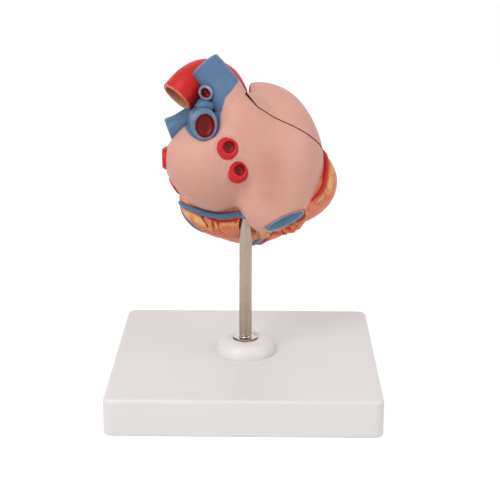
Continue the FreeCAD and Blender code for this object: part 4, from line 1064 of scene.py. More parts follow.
right_block = block(SEPTUM_RIGHT)
middle_block = block(SEPTUM_LEFT)
for side, half in (("back", back_body), ("front", front_body)):
    for name, away, keep in (("right_ventricle_", [], [right_block]), ("left_ventricle_", [middle_block], []),
                             ("septum_", [right_block], [middle_block])):
        PIECES[name + side] = cut(twin(half, "cast_" + name + side), away, keep)
VENTRICLES = [name for name in PIECES if "ventricle" in name or "septum" in name]
for name in VENTRICLES:
    print(name, len(PIECES[name].data.polygons), "faces")

# %% [markdown]
# ## The lower caval vein's mouth
# A thin blue lining in a wide slanting mouth. Its blue is lighter than the veins' blue, as painted
# light where the mouth lies in shade, and its pale rim is rubbed paint with a painted highlight.

# %% Make the lining
lining_line = np.stack([LOWER_CAVA_MOUTH - LOWER_CAVA_AXIS * LOWER_CAVA_DEPTH, LOWER_CAVA_MOUTH])
lining_s, lining_r = through_profile(LOWER_CAVA_DEPTH, evenly([LOWER_CAVA_BORE] * 2, LOWER_CAVA_DEPTH),
                                     LOWER_CAVA_LINER, 24)
lining = doughnut("cast_lower_cava_lining", carry(lining_line, lining_s, lining_r, 128))
PIECES["lower_cava_lining"] = cut(lining, [socket_bar])
# the lining's rim is painted pale: rubbed paint together with a painted highlight on the lip
store(lining, "rim", rim_share(points_of(lining), lining_line, 0.7))

# %% [markdown]
# ## Vessels laid on the skin
# Coronary vessels are bars that follow the skin. Rough guide points are moved out or in along their
# rays until the bar lies in the surface. A bar's ends taper to a point, so that it sinks away.

# %% Coronary vessels
CORONARY_GUIDES = {
    "coronary_sinus": (1.65, [(-31, 9, 90), (-28, 4.3, 89.3), (-22.5, 0, 88.3), (-17.7, -2, 87.1),
                              (-12, -3.3, 86.5), (-7, -4.3, 87.1), (-2.8, -5.3, 88.0), (0.3, -6.1, 88.7)]),
    "circumflex_artery": (0.7, [(-17.8, -1.4, 84.9), (-14, -2.1, 84.0), (-10.4, -2.7, 83.6),
                                (-6, -3.5, 84.2), (-2.4, -4.7, 85.3)]),
    "left_marginal_vein": (0.7, [(-31, 11, 87), (-30, 10, 82), (-26.5, 10, 77), (-21, 11, 73)]),
    "middle_cardiac_vein": (1.1, [(8, 4, 77), (7, 14, 70.5), (3, 24, 65.5), (0, 32, 62.5)]),
    "descending_back_artery": (0.9, [(13, 3, 78.5), (11, 13, 72), (7, 24, 67), (4, 31, 64.5)]),
    "right_coronary_artery": (1.25, [(14, 31, 118), (27, 27, 116.5), (34.5, 19.5, 115), (37.2, 12, 112.8),
                                     (37.2, 6, 110.4), (37, 1, 108), (36.5, -2.8, 105), (35.6, -5.5, 101.3),
                                     (33.4, -7.4, 98.5), (30, -9.6, 95)]),
    "front_descending_artery": (1.0, [(-13, 33, 116), (-14, 41, 106), (-11, 48, 94), (-8, 52, 82),
                                      (-6, 51, 72)]),
    "great_cardiac_vein": (1.0, [(-17, 32, 113), (-17, 39, 104), (-14, 46, 93), (-11, 50, 82),
                                 (-9, 50, 73)]),
}
FAT_GUIDES = {
    "fat_left_groove": (3.0, [(-29, 6, 86), (-25.5, 2, 84.5), (-20, 0, 82.0), (-15, 0.5, 79.5)]),
    "fat_by_rod": (2.6, [(7.0, -1, 79.5), (8.5, 5, 75.5), (9.5, 11, 72)]),
    "fat_under_cava": (2.9, [(12, 9, 73.3), (18, 8, 75.5), (23, 4.5, 78.4), (28.5, -0.5, 83.5)]),
    "fat_right_groove": (2.1, [(38.5, 14, 111), (39.3, 7, 108.4), (39.1, 1, 104.9), (38.2, -2.2, 100.4),
                               (35.8, -5.2, 97), (32.4, -7.3, 93.4)]),
    "fat_front_groove": (2.6, [(-9, 37, 113), (-9, 45, 103), (-6, 50, 91), (-3, 52, 80)]),
}
CROSSING = ("right_coronary_artery", "fat_right_groove")
FRONT_ONLY = ("front_descending_artery", "great_cardiac_vein", "fat_front_groove")
VESSEL_SUNK = 0.35
FAT_SUNK = 0.62


def settled_line(guides, radius, sunk):
    """Guides moved along their rays from the heart's middle until a bar lies in the skin."""
    ways = unit(np.array(guides, float) - VENTRICLE_HEART)
    distance = reach(heart_skin, VENTRICLE_HEART, ways, 60.0) + radius * (1.0 - 2.0 * sunk)
    return smooth_line(VENTRICLE_HEART + ways * distance[:, None], 48)


def end_taper(count):
    """Share of full width along a bar: a half circle at each end."""
    place = np.linspace(-1.0, 1.0, count)
    return np.sqrt(np.clip(1.0 - np.abs(place) ** 8, 0.0, 1.0)) * 0.98 + 0.02


def settled_bar(guides, radius, sunk, shares, count, spokes):
    """Rings of a bar in the skin, whose radius follows shares of its full width from end to end."""
    line = settled_line(guides, radius, sunk)
    distances = np.linspace(0.0, line_length(line), count)
    width = np.interp(distances, np.linspace(0, distances[-1], len(shares)), np.array(shares) * radius)
    return carry(line, distances, width * end_taper(count), spokes)


def swollen(rings, swell):
    """Each ring's points moved out from its middle, to a share of their distance."""
    centre = rings.mean(1, keepdims=True)
    return centre + (rings - centre) * swell[..., None]


def laid_vessel(name, radius, guides, seed):
    """A bar in the skin whose width wanders a little."""
    rings = settled_bar(guides, radius, VESSEL_SUNK, (0.8, 1, 1, 0.7), 90, 20)
    return ball("cast_" + name, swollen(rings, 1.0 + 0.05 * ripple(rings, 5.0, seed)))


FAT_SHARP_ANGLE = 60.0
LOBULE_SEED = 5.0
FAT_LOBULES = {             # size of a pad's lobules, how far they stand out, and the pad's fullness
    "fat_left_groove": (6.5, 0.16, 1.08), "fat_by_rod": (4.5, 0.30, 1.08),
    "fat_under_cava": (3.4, 0.46, 1.36), "fat_right_groove": (6.5, 0.16, 1.08),
    "fat_front_groove": (4.2, 0.34, 1.08),
}


def laid_fat(name, radius, guides, seed):
    """A pad of fat in the skin: a bar whose radius swells with the lobules and sinks in the tears."""
    rings = settled_bar(guides, radius, FAT_SUNK, (0.55, 1, 1, 0.5), 150, 72)
    size, stands_out, full = FAT_LOBULES[name]
    lobules = lumps(rings, size, LOBULE_SEED) * stands_out
    height = lobules + 0.03 * ripple(rings, 2.2, seed) - 0.12 * strands(rings)
    return ball("cast_" + name, swollen(rings, full - stands_out + height), FAT_SHARP_ANGLE)


for index, (name, (radius, guides)) in enumerate({**CORONARY_GUIDES, **FAT_GUIDES}.items()):
    make = laid_fat if name.startswith("fat") else laid_vessel
    piece = make(name, radius, guides, 60 + index)
    if name in CROSSING:
        front = cut(twin(piece, "cast_" + name + "_front"), [], keep=[wall_front])
        PIECES[name + "_front"] = front
    if name in FRONT_ONLY:
        cut(piece, [], keep=[wall_front])
    else:
        cut(piece, [wall_back])
    PIECES[name] = piece

# %% [markdown]
# ## The left auricle
# A small ear-like pouch beside the pulmonary trunk, with a crinkled edge.

# %% Make the left auricle
def ear_relief(points):
    """Folds along the edge of the ear, deepest away from the heart."""
    return 0.5 * np.abs(ripple(points, 5.5, 71)) - 0.35


def ear_skin(points):
    """Above one inside the left auricle."""
    return fullness(points, LEFT_AURICLE)


EAR_POLES = (-0.5, 0.8, 0.0)
EAR_INSET = 0.1
ear = ball("cast_left_auricle", skin_grid(ear_skin, np.array(LEFT_AURICLE[0][0]), EAR_POLES, *EAR_MESH,
                                          EAR_INSET, ear_relief))
PIECES["left_auricle"] = cut(ear, [atria_solid, muscle_solid, trunk_bar, aorta_bar])
PIECES.update(aorta_arch=aorta, upper_cava=cava, azygos_stub=azygos, pulmonary_trunk=trunk,
              right_lung_artery=right_artery, left_lung_artery=left_artery)

# %% [markdown]
# ## Inlet valves
# Thin skirts that hang from the inlets into the ventricles. Their free edges are scalloped and
# folded, which is a slow and a fast wave of the turn, both growing towards the edge.

# %% Make the inlet valves
LEAFLET_LENGTH = 8.5
LEAFLET_THICKNESS = 0.9
LEAFLET_TAPER = 0.68
LEAFLET_SPOKES = 144
LEAFLET_ABOVE = 2.0          # a skirt begins this far above the middle of its inlet


def leaflet_skirt(name, centre, radius, cusps):
    """Rings down the outside, round the free edge and up the inside.

    At turn a the skirt is LEAFLET_LENGTH (0.86 + 0.14 cos(cusps a)) long, and its radius has folds."""
    turn = turns(LEAFLET_SPOKES)
    length = LEAFLET_LENGTH * (0.86 + 0.14 * np.cos(cusps * turn))
    share = np.concatenate([np.linspace(0, 1, 16), np.linspace(1, 0, 16)])[:, None]
    inner = (np.arange(32) >= 16)[:, None]
    radii = radius * (1.0 + (LEAFLET_TAPER - 1.0) * share ** 1.3) + 0.30 * share * np.cos(4 * cusps * turn)
    radii = radii - LEAFLET_THICKNESS * inner - 0.1
    down = (length[None] + LEAFLET_ABOVE) * share - LEAFLET_ABOVE
    _, side, other = axes_along(VALVE_AXIS, (1.0, 0.0, 0.0))
    outward = round_about(side, other, turn)
    grid = centre + VALVE_AXIS * down[..., None] + outward[None] * radii[..., None]
    return doughnut("cast_" + name, grid)


mitral = leaflet_skirt("mitral_valve", INLETS[0][0], INLETS[0][1], 2)
PIECES["mitral_valve"] = cut(mitral, [shell, body, wall_back])
tricuspid = leaflet_skirt("tricuspid_valve_back", INLETS[1][0], INLETS[1][1], 3)
front_part = twin(tricuspid, "cast_tricuspid_valve_front")
PIECES["tricuspid_valve_back"] = cut(tricuspid, [shell, body, wall_back])
PIECES["tricuspid_valve_front"] = cut(front_part, [shell, body], keep=[wall_front])

# %% [markdown]
# ## The stand
# The base is one injection moulding: a square tray with soft edges, open below. Carrying a profile
# round a rounded square gives its outside and its inside in one closed surface. Ring by ring the
# square turns into the circle of the rod's hole.

# %% Sizes of the stand
BASE_HALF = 62.5
BASE_TOP = 17.5
BASE_WALL = 2.5
RIM_LIFT = 0.2
CORNER = 4.5
FOOT_INSET = 52.0
ROD_RADIUS = 3.0
ROD_HOLE = 3.1
ROD_ENDS = (4.0, 105.8)
COLLAR_FOOT = 14.0
COLLAR_TOP = 9.0
COLLAR_STEP = 1.6
COLLAR_CROWN = (13.3, 5.7)   # the corner that the collar's dome rounds off: radius, and height over the base
COLLAR_HEIGHT = 7.0
RECESS = (6.0, 4.4)          # radius and depth of the collar's recess
NUT_FLATS = 10.0
NUT_HEIGHT = 5.0
NUT_FLARE = 0.5              # width and height of the cone at each end of a nut's bore
WASHER = (9.0, 1.5)          # radius and thickness
RIB_START = 12.0             # a rib runs from here to the wall, this deep and half this thick:
RIB_DEEP = 7.0
RIB_HALF = 0.9
BOSS = (5.0, 3.0)            # radius and lower end of the post over each foot
INTO_WALL = 0.5              # ribs and posts run this far into the walls that they join


# %% Rounded outlines and turned pieces
def rounded(corners, radii, samples=7):
    """A closed outline with soft corners: each corner c becomes the curve

    (1 - t)^2 a + 2 t (1 - t) c + t^2 b, where a and b lie a radius before and after it."""
    corners = np.asarray(corners, float)
    radii = np.broadcast_to(np.asarray(radii, float), len(corners))[:, None, None]
    t = np.linspace(0.0, 1.0, samples)[None, :, None]
    middle = corners[:, None]
    before = middle + unit(np.roll(corners, 1, 0) - corners)[:, None] * radii
    after = middle + unit(np.roll(corners, -1, 0) - corners)[:, None] * radii
    curve = (1 - t) ** 2 * before + 2 * t * (1 - t) * middle + t ** 2 * after
    return curve.reshape(-1, 2)


def turned(name, outline, spokes=BAR_SPOKES):
    """A closed outline of (radius, height) turned about the Z axis."""
    turn = turns(spokes)
    rings = np.stack([outline[:, :1] * np.cos(turn), outline[:, :1] * np.sin(turn),
                      np.broadcast_to(outline[:, 1:], (len(outline), spokes))], -1)
    return doughnut(name, rings)


def square_turning_round(outline, spokes=224):
    """Rings of an outline of (half width, height, corner radius, roundness).

    A ring is core * (half - corner) + heading * corner, mixed by roundness with a plain circle."""
    step = turns(spokes)
    quarter = spokes // 4
    place = (np.arange(spokes) % quarter) / quarter
    side = (np.arange(spokes) // quarter)[:, None]
    bend = np.clip((place - 0.8) / 0.2, 0.0, 1.0)
    along = np.clip(place / 0.8, 0.0, 1.0)
    angle = (side[:, 0] + bend) * np.pi / 2
    start = (side[:, 0] - 0.5) * np.pi / 2
    foot = np.stack([np.cos(start), np.sin(start)], -1) * np.sqrt(2)
    tip = np.stack([np.cos(start + np.pi / 2), np.sin(start + np.pi / 2)], -1) * np.sqrt(2)
    core = foot + (tip - foot) * along[:, None]
    heading = np.stack([np.cos(angle), np.sin(angle)], -1)
    circle = np.stack([np.cos(step - np.pi / 4), np.sin(step - np.pi / 4)], -1)
    half, height, corner, roundness = (outline[:, k][:, None, None] for k in range(4))
    square = core * (half - corner) + heading * corner
    flat = square * (1 - roundness) + circle * half * roundness
    return np.concatenate([flat, np.broadcast_to(height, flat.shape[:2] + (1,))], -1)


# %% Make the base
def base_outline():
    """Half width, height, corner radius and roundness from the rim, over the top, and back inside."""
    roof = BASE_TOP - BASE_WALL
    inner = BASE_HALF - BASE_WALL
    corners = [(BASE_HALF, RIM_LIFT), (BASE_HALF, BASE_TOP), (ROD_HOLE, BASE_TOP), (ROD_HOLE, roof),
               (inner, roof), (inner, RIM_LIFT)]
    flat = rounded(corners, (0.9, 2.2, 0.15, 0.15, 1.2, 0.5), 8)
    gap = np.abs(np.diff(np.vstack([flat, flat[:1]])[:, 0]))
    for index in np.where(gap > 20.0)[0][::-1]:
        more = np.linspace(flat[index], flat[(index + 1) % len(flat)], 9)[1:-1]
        flat = np.insert(flat, index + 1, more, 0)
    roundness = 1.0 - smooth_step(14.0, 50.0, flat[:, 0])
    corner = np.clip(CORNER - (BASE_HALF - flat[:, 0]), 1.2, CORNER)
    return np.stack([flat[:, 0], flat[:, 1], corner, roundness], -1)


def slab(name, low, high):
    """A plain closed block between two corners, used for ribs."""
    low = np.array(low, float)
    high = np.array(high, float)
    x = np.array((low[0], high[0], high[0], low[0]))
    y = np.array((low[1], low[1], high[1], high[1]))
    rings = [np.stack([x, y, np.full(4, level)], -1) for level in (low[2], high[2])]
    return ball(name, np.stack(rings))


base = doughnut("cast_base_shell", square_turning_round(base_outline()), 40.0)
roof = BASE_TOP - BASE_WALL
rib_end = BASE_HALF - BASE_WALL + INTO_WALL
rib_low = roof - RIB_DEEP
rib_top = roof + INTO_WALL
ribs = []
for side in (-1, 1):
    near, far = sorted((RIB_START * side, rib_end * side))
    ribs.append(slab("tool_rib", (near, -RIB_HALF, rib_low), (far, RIB_HALF, rib_top)))
    ribs.append(slab("tool_rib", (-RIB_HALF, near, rib_low), (RIB_HALF, far, rib_top)))
ribs += [bar((x, y, BOSS[1]), (x, y, rib_top), BOSS[0], 40) for x in (-FOOT_INSET, FOOT_INSET)
         for y in (-FOOT_INSET, FOOT_INSET)]
PIECES["base_shell"] = merged(base, ribs)
discard(*ribs)

# %% [markdown]
# ## Collar, nuts and rod
# The collar is a turned boss with a full round shoulder and a recess that holds the nut. The nut's
# outline is six flats: the radius is apothem / cos(angle from the middle of the flat). The rod's
# lower end has a real thread, a groove that climbs one pitch in a turn.

# %% Make the collar, nuts, washer and rod
high = BASE_TOP + COLLAR_HEIGHT
collar_corners = [(ROD_HOLE, BASE_TOP), (COLLAR_FOOT, BASE_TOP), (COLLAR_FOOT, BASE_TOP + COLLAR_STEP),
                  (COLLAR_CROWN[0], BASE_TOP + COLLAR_CROWN[1]), (COLLAR_TOP, high), (RECESS[0], high),
                  (RECESS[0], high - RECESS[1]), (ROD_HOLE, high - RECESS[1])]
collar_rounds = (0.2, 0.3, 0.1, 3.9, 0.4, 0.5, 0.4, 0.1)
PIECES["rod_collar"] = turned("cast_rod_collar", rounded(collar_corners, collar_rounds, 10), 128)


def hex_nut(name, bottom):
    """Rings of a nut: cone edge, flats, cone edge, then the bore. A flat's radius is apothem / cos(a)."""
    turn = turns(120)
    apothem = NUT_FLATS / 2
    flats = apothem / np.cos(np.mod(turn, np.pi / 3) - np.pi / 6)
    circle = np.full(len(turn), apothem - 0.1)
    slope = 0.5 * (flats - circle)
    top = bottom + NUT_HEIGHT
    flare = ROD_RADIUS + NUT_FLARE
    rows = [(circle, bottom), (flats, bottom + slope), (flats, top - slope), (circle, top), (flare, top),
            (ROD_RADIUS, top - NUT_FLARE), (ROD_RADIUS, bottom + NUT_FLARE), (flare, bottom)]
    grid = np.stack([np.stack([r * np.cos(turn), r * np.sin(turn), z + 0 * turn], -1) for r, z in rows])
    return doughnut(name, grid, 20.0)


PIECES["collar_nut"] = hex_nut("cast_collar_nut", high - RECESS[1])
washer_low = roof - WASHER[1]
PIECES["base_nut"] = hex_nut("cast_base_nut", washer_low - NUT_HEIGHT)
washer_corners = [(ROD_HOLE, washer_low), (WASHER[0], washer_low), (WASHER[0], roof), (ROD_HOLE, roof)]
PIECES["base_washer"] = turned("cast_base_washer", rounded(washer_corners, 0.3, 5))
THREAD_PITCH = 1.0
THREAD_TOP = 26.4
THREAD_DEPTH = 0.42


def rod_grid(spokes=64):
    """Radius at height z and turn a: full, less the thread depth times the triangle wave of z/pitch - a,

    below the thread's top, and less a small chamfer at both ends."""
    low, top = ROD_ENDS
    height = np.concatenate([low + np.linspace(0, 0.4, 4), np.arange(low + 0.5, THREAD_TOP + 0.6, 0.125),
                             np.linspace(THREAD_TOP + 1.0, top - 0.5, 20), top - np.array((0.4, 0.2, 0.0))])
    turn = np.arange(spokes) / spokes
    wave = np.abs(2 * np.mod(height[:, None] / THREAD_PITCH - turn[None], 1.0) - 1.0)
    fade = 1.0 - smooth_step(THREAD_TOP - 0.6, THREAD_TOP + 0.4, height)[:, None]
    chamfer = np.clip(0.5 - np.minimum(height - low, top - height), 0.0, 0.5)[:, None]
    radius = ROD_RADIUS - THREAD_DEPTH * wave * fade - chamfer
    angle = 2 * np.pi * turn
    return np.stack([radius * np.cos(angle), radius * np.sin(angle),
                     np.broadcast_to(height[:, None], radius.shape)], -1)


PIECES["support_rod"] = ball("cast_support_rod", rod_grid(), 30.0)
print("stand pieces:", [name for name in PIECES if "rod" in name or "base" in name or "nut" in name])

# %% [markdown]
# ## What the paint needs to know
# Paint follows the form: one colour on the skin, another in the chambers, a darker red down a bore,
# which is partly the bore's own paint and partly painted shade.
# Each vertex or face therefore keeps a few numbers between nought and one, worked out from where it
# is. The materials read them by name.

# %% Masks on the castings
CUT_PLANES = (ROOF_PLANE, CREST_PLANE, WALL_PLANE, AORTA_PLANE, SHELF_PLANE, APRON_PLANE, TRUNK_PLANE,
              SEPTAL_PLANE, SEPTUM_RIGHT, SEPTUM_LEFT, tilted_crest)
SKIN_DEEP = 1.55            # fullness at which a point is well below the outer skin
SAME_WAY = 0.995            # cosine above which a face counts as parallel to a plane
SAME_PLACE = 0.02           # distance within which it counts as lying in it


def mark_casting(piece, skin):
    """Marks faces of the chambers as inside, and flat faces where the castings meet as edge."""
    centres, normals = faces_of(piece)
    edge = np.zeros(len(centres), bool)
    for normal, level in CUT_PLANES:
        size = np.linalg.norm(normal)
        along = np.abs(normals @ (np.array(normal) / size)) > SAME_WAY
        for gap in (0.0, PARTING_GAP, -PARTING_GAP, SEAM_GAP):
            edge |= along & (np.abs(in_front((normal, level), centres) - gap) < SAME_PLACE)
    deep = skin(centres) > SKIN_DEEP
    store(piece, "inside", deep & ~edge, "FACE")
    store(piece, "edge", edge, "FACE")


BLUE_HEIGHTS = (125.5, 126.8, 129.0, 131.4, 135.6, 140.0, 143.4, 146.0, 148.9, 158.0)
BLUE_LIMITS = (-17.2, -13.6, -12.1, -11.6, -11.2, -10.5, -9.3, -7.2, -4.4, 3.5)
BLUE_COLLAR = 7.7           # the blue reaches this far from the right lung artery's line


def blueness(points):
    """One where the caval column is painted blue: to the left of a line that rises to the right."""
    limit = np.interp(points[:, 2], BLUE_HEIGHTS, BLUE_LIMITS)
    edge = limit + 0.35 * ripple(points, 9.0, 81)
    return 1.0 - smooth_step(-0.28, 0.28, points[:, 0] - edge)


def low_blue(points):
    """The part of the atrial skin that the blue reaches: round the lung artery's ring and right of it."""
    collar = inside_share(points, RIGHT_BRANCH_LINE, BLUE_COLLAR)
    beside = smooth_step(-18.8, -18.2, points[:, 0])
    return smooth_step(124.8, 125.6, points[:, 2]) * np.maximum(collar, beside)


def flush(points):
    """Painted shade in the shallow hollow between the atria: a darker pink, as a bell curve in x, faded out
    in z.
    """
    x, y, z = points.T
    across = np.exp(-((x - 11.4) / 6.0) ** 2) * smooth_step(92.0, 101.0, z)
    return across * (1.0 - smooth_step(112.0, 126.0, z)) * (y < -8.0)


for name in ("left_atrium", "right_atrium", "right_auricle"):
    piece = PIECES[name]
    where = points_of(piece)
    mark_casting(piece, atrial_skin)
    store(piece, "blue", blueness(where) * low_blue(where) * (1.0 - smooth_step(0.0, 6.0, where[:, 1])))
    # painted shade: the darker pink of the hollow between the atria
    store(piece, "flush", flush(where))
for name in VENTRICLES:
    piece = PIECES[name]
    mark_casting(piece, ventricle_skin)
    where = points_of(piece)
    store(piece, "fat", np.maximum(fatness(where), torn(where)))
    store(piece, "relief", fat_crest(where))
    store(piece, "fibre", 0.5 + 0.5 * fibres(where))
store(PIECES["upper_cava"], "pink", 1.0 - blueness(points_of(PIECES["upper_cava"])))
for name, piece in PIECES.items():
    if name.startswith("fat"):
        where = points_of(piece)
        size, stands_out, _ = FAT_LOBULES[name.removesuffix("_front")]
        crease = (1.0 - lumps(where, size, LOBULE_SEED)) ** 2 * stands_out * 2.0
        store(piece, "relief", np.clip(1.0 - crease - torn(where) - 0.3 * strands(where), 0.0, 1.0))
print("masks on", len(PIECES), "pieces")

# %% [markdown]
# ## Paint and plastic
# Every finish is a Principled BSDF fed by a few procedural nodes. An effect that many finishes
# share, such as the slight mottling of hand-laid paint or the fine grain of a moulding, is a node
# group built once. Colours are written as on a paint chart, from 0 to 255, and turned into the
# linear values that Blender mixes.

# %% Short ways to add nodes
def colour(red, green, blue):
    """Linear colour of a chart value: c / 12.92 when dark, else ((c + 0.055) / 1.055)^2.4."""
    chart = np.array((red, green, blue)) / 255.0
    linear = np.where(chart <= 0.04045, chart / 12.92, ((chart + 0.055) / 1.055) ** 2.4)
    return (*map(float, linear), 1.0)


def add(tree, kind, inputs=None, **settings):
    """A new node. Its inputs are linked where a socket is given, and set where a value is."""
    node = tree.nodes.new("ShaderNode" + kind)
    for key, value in settings.items():
        setattr(node, key, value)
    for key, value in (inputs or {}).items():
        if isinstance(value, bpy.types.NodeSocket):
            tree.links.new(value, node.inputs[key])
        else:
            node.inputs[key].default_value = value
    return node


def blend_colours(tree, share, first, second):
    """The first colour where share is nought, the second where it is one."""
    return add(tree, "Mix", {0: share, 6: first, 7: second}, data_type="RGBA").outputs[2]


def sums(tree, operation, first, second=0.0, clamp=False):
    """One step of arithmetic on numbers."""
    return add(tree, "Math", {0: first, 1: second}, operation=operation, use_clamp=clamp).outputs[0]


def spread(tree, value, low, high, to_low=0.0, to_high=1.0):
    """A value's range from low to high, spread smoothly from to_low to to_high."""
    node = add(tree, "MapRange", {"Value": value, "From Min": low, "From Max": high, "To Min": to_low,
                                  "To Max": to_high}, interpolation_type="SMOOTHSTEP")
    return node.outputs["Result"]


def kept(tree, name):
    """The number that the mesh keeps under a name."""
    return add(tree, "Attribute", attribute_name=name).outputs["Fac"]


def here(tree):
    """Position on the piece, in metres."""
    return add(tree, "TexCoord").outputs["Object"]


def noise(tree, scale, detail=3.0, vector=None):
    """Soft random values from nought to one, scale times a metre."""
    return add(tree, "TexNoise", {"Vector": vector or here(tree), "Scale": scale,
                                  "Detail": detail}).outputs["Fac"]


def product(tree, first, second, clamp=False):
    """One number times another."""
    return sums(tree, "MULTIPLY", first, second, clamp)


# %% Node groups that many finishes share
def new_group(name, inputs, outputs):
    """A node group with named sockets: inputs and outputs are (name, kind, default)."""
    group = bpy.data.node_groups.new(name, "ShaderNodeTree")
    for direction, sockets in (("INPUT", inputs), ("OUTPUT", outputs)):
        for label, kind, default in sockets:
            socket = group.interface.new_socket(label, in_out=direction, socket_type="NodeSocket" + kind)
            if default is not None:
                socket.default_value = default
    way_in = group.nodes.new("NodeGroupInput")
    way_out = group.nodes.new("NodeGroupOutput")
    return group, way_in.outputs, way_out.inputs


def group_hand_paint():
    """Mottling of hand-laid paint: cloudy shifts towards a second colour, and small pale specks."""
    group, given, result = new_group(
        "hand_paint", [("Color", "Color", (0.8, 0.8, 0.8, 1)), ("Second", "Color", (0.7, 0.7, 0.7, 1)),
                       ("Scale", "Float", 60.0), ("Amount", "Float", 0.5)], [("Color", "Color", None)])
    where = add(group, "VectorMath", {0: here(group), 3: given["Scale"]}, operation="SCALE").outputs["Vector"]
    cloud = spread(group, noise(group, 1.0, 3.0, where), 0.35, 0.68)
    fine = spread(group, noise(group, 7.0, 2.0, where), 0.3, 0.8)
    both = sums(group, "ADD", product(group, cloud, 0.75), product(group, fine, 0.25))
    share = product(group, both, given["Amount"], True)
    group.links.new(blend_colours(group, share, given["Color"], given["Second"]), result["Color"])
    return group


def group_fine_grain():
    """Height of a moulded or painted skin: faint orange peel and a finer grain."""
    group, given, result = new_group("fine_grain", [("Scale", "Float", 900.0), ("Peel", "Float", 0.5)],
                                     [("Height", "Float", None)])
    where = add(group, "VectorMath", {0: here(group), 3: given["Scale"]}, operation="SCALE").outputs["Vector"]
    peel = noise(group, 0.4, 1.0, where)
    grain = noise(group, 2.2, 2.0, where)
    height = sums(group, "ADD", product(group, peel, given["Peel"]), product(group, grain, 0.3))
    group.links.new(height, result["Height"])
    return group


HAND_PAINT = group_hand_paint()
FINE_GRAIN = group_fine_grain()
GRAIN_HEIGHT = 0.0002       # metres
LINE_HEIGHT = 0.00005       # metres, of the drawing lines on plated metal


def painted(tree, first, second, scale=60.0, amount=0.5):
    """The hand-paint group, placed with its own values."""
    values = {"Color": first, "Second": second, "Scale": scale, "Amount": amount}
    return add(tree, "Group", values, node_tree=HAND_PAINT).outputs["Color"]


def grain_normal(tree, scale=900.0, strength=0.12, peel=0.5):
    """A Bump node fed by the fine-grain group."""
    height = add(tree, "Group", {"Scale": scale, "Peel": peel}, node_tree=FINE_GRAIN).outputs["Height"]
    return add(tree, "Bump", {"Height": height, "Strength": strength,
                              "Distance": GRAIN_HEIGHT}).outputs["Normal"]


def finish_of(name, roughness, specular=0.3, metallic=0.0):
    """A new material and its shader, with the values that are the same all over."""
    material = bpy.data.materials.new(name)
    material.use_nodes = True
    tree = material.node_tree
    shader = tree.nodes["Principled BSDF"]
    shader.inputs["Roughness"].default_value = roughness
    shader.inputs["Specular IOR Level"].default_value = specular
    shader.inputs["Metallic"].default_value = metallic
    return material, tree, shader


def dress(tree, shader, base, normal=None, roughness=None):
    """Links the worked-out colour, and where given the normal and the roughness."""
    tree.links.new(base, shader.inputs["Base Color"])
    if normal is not None:
        tree.links.new(normal, shader.inputs["Normal"])
    if roughness is not None:
        tree.links.new(roughness, shader.inputs["Roughness"])


# %% Colours, as on a paint chart
PINK = colour(218, 163, 147)
PINK_DEEP = colour(207, 147, 130)
# a darker pink, painted as shade in the hollow between the atria
PINK_HOLLOW_SHADE = colour(199, 134, 115)
CASTING_EDGE = colour(196, 140, 120)
CHAMBER = colour(196, 120, 100)
CHAMBER_DEEP = colour(164, 80, 66)
RED = colour(208, 32, 36)
RED_DEEP = colour(182, 20, 26)
# pale paint on the cut ends: partly rubbed paint, partly a painted highlight on the rounded lip
RED_WORN_AND_HIGHLIGHT = colour(232, 122, 104)
# deep red of the bores: the bores' own red paint, darkened as painted shade
BORE_RED_AND_SHADE = colour(142, 22, 24)
BORE_TAN = colour(196, 132, 100)
BLUE = colour(88, 120, 152)
BLUE_DEEP = colour(72, 100, 131)
# pale blue-grey on the cut ends: partly rubbed paint, partly a painted highlight on the lip
BLUE_WORN_AND_HIGHLIGHT = colour(176, 184, 202)
# lighter blues than the veins': painted light in the shaded mouth of the lower caval vein
LINING_BLUE_PAINTED_LIGHT = colour(146, 190, 220)
LINING_DEEP_PAINTED_LIGHT = colour(126, 170, 200)
MUSCLE = colour(226, 121, 86)
MUSCLE_DEEP = colour(202, 87, 60)
MUSCLE_PALE = colour(234, 154, 119)
FAT = colour(226, 150, 88)
FAT_PALE = colour(236, 186, 124)
FAT_CREVICE = colour(176, 58, 36)
LOBULE = colour(238, 124, 82)
LOBULE_PALE = colour(246, 170, 120)
LOBULE_CREVICE = colour(196, 50, 36)
CREAM = colour(232, 212, 184)
WHITE_PLASTIC = colour(229, 226, 225)


# %% Atrial and ventricular paint
def uneven_roughness(tree, scale, low, high):
    """A roughness that wanders between two values, as a brushed or moulded surface's does."""
    return spread(tree, noise(tree, scale), 0.3, 0.7, low, high)


def chamber_and_edge(tree, skin):
    """Reddish flesh on the faces of the chambers, and bare casting where two pieces meet."""
    skin = blend_colours(tree, kept(tree, "inside"), skin, painted(tree, CHAMBER, CHAMBER_DEEP, 120.0, 0.6))
    return blend_colours(tree, kept(tree, "edge"), skin, CASTING_EDGE)


def atrium_paint():
    """Flesh pink over the skin, slate blue on part of the caval column, redder inside."""
    material, tree, shader = finish_of("flesh_pink_paint", 0.46)
    skin = painted(tree, PINK, PINK_DEEP, 38.0, 0.45)
    # painted shade: a darker pink in the hollow between the atria
    skin = blend_colours(tree, product(tree, kept(tree, "flush"), 0.6), skin, PINK_HOLLOW_SHADE)
    skin = blend_colours(tree, kept(tree, "blue"), skin, painted(tree, BLUE, BLUE_DEEP, 80.0, 0.4))
    dress(tree, shader, chamber_and_edge(tree, skin), grain_normal(tree),
          uneven_roughness(tree, 180.0, 0.42, 0.5))
    return material


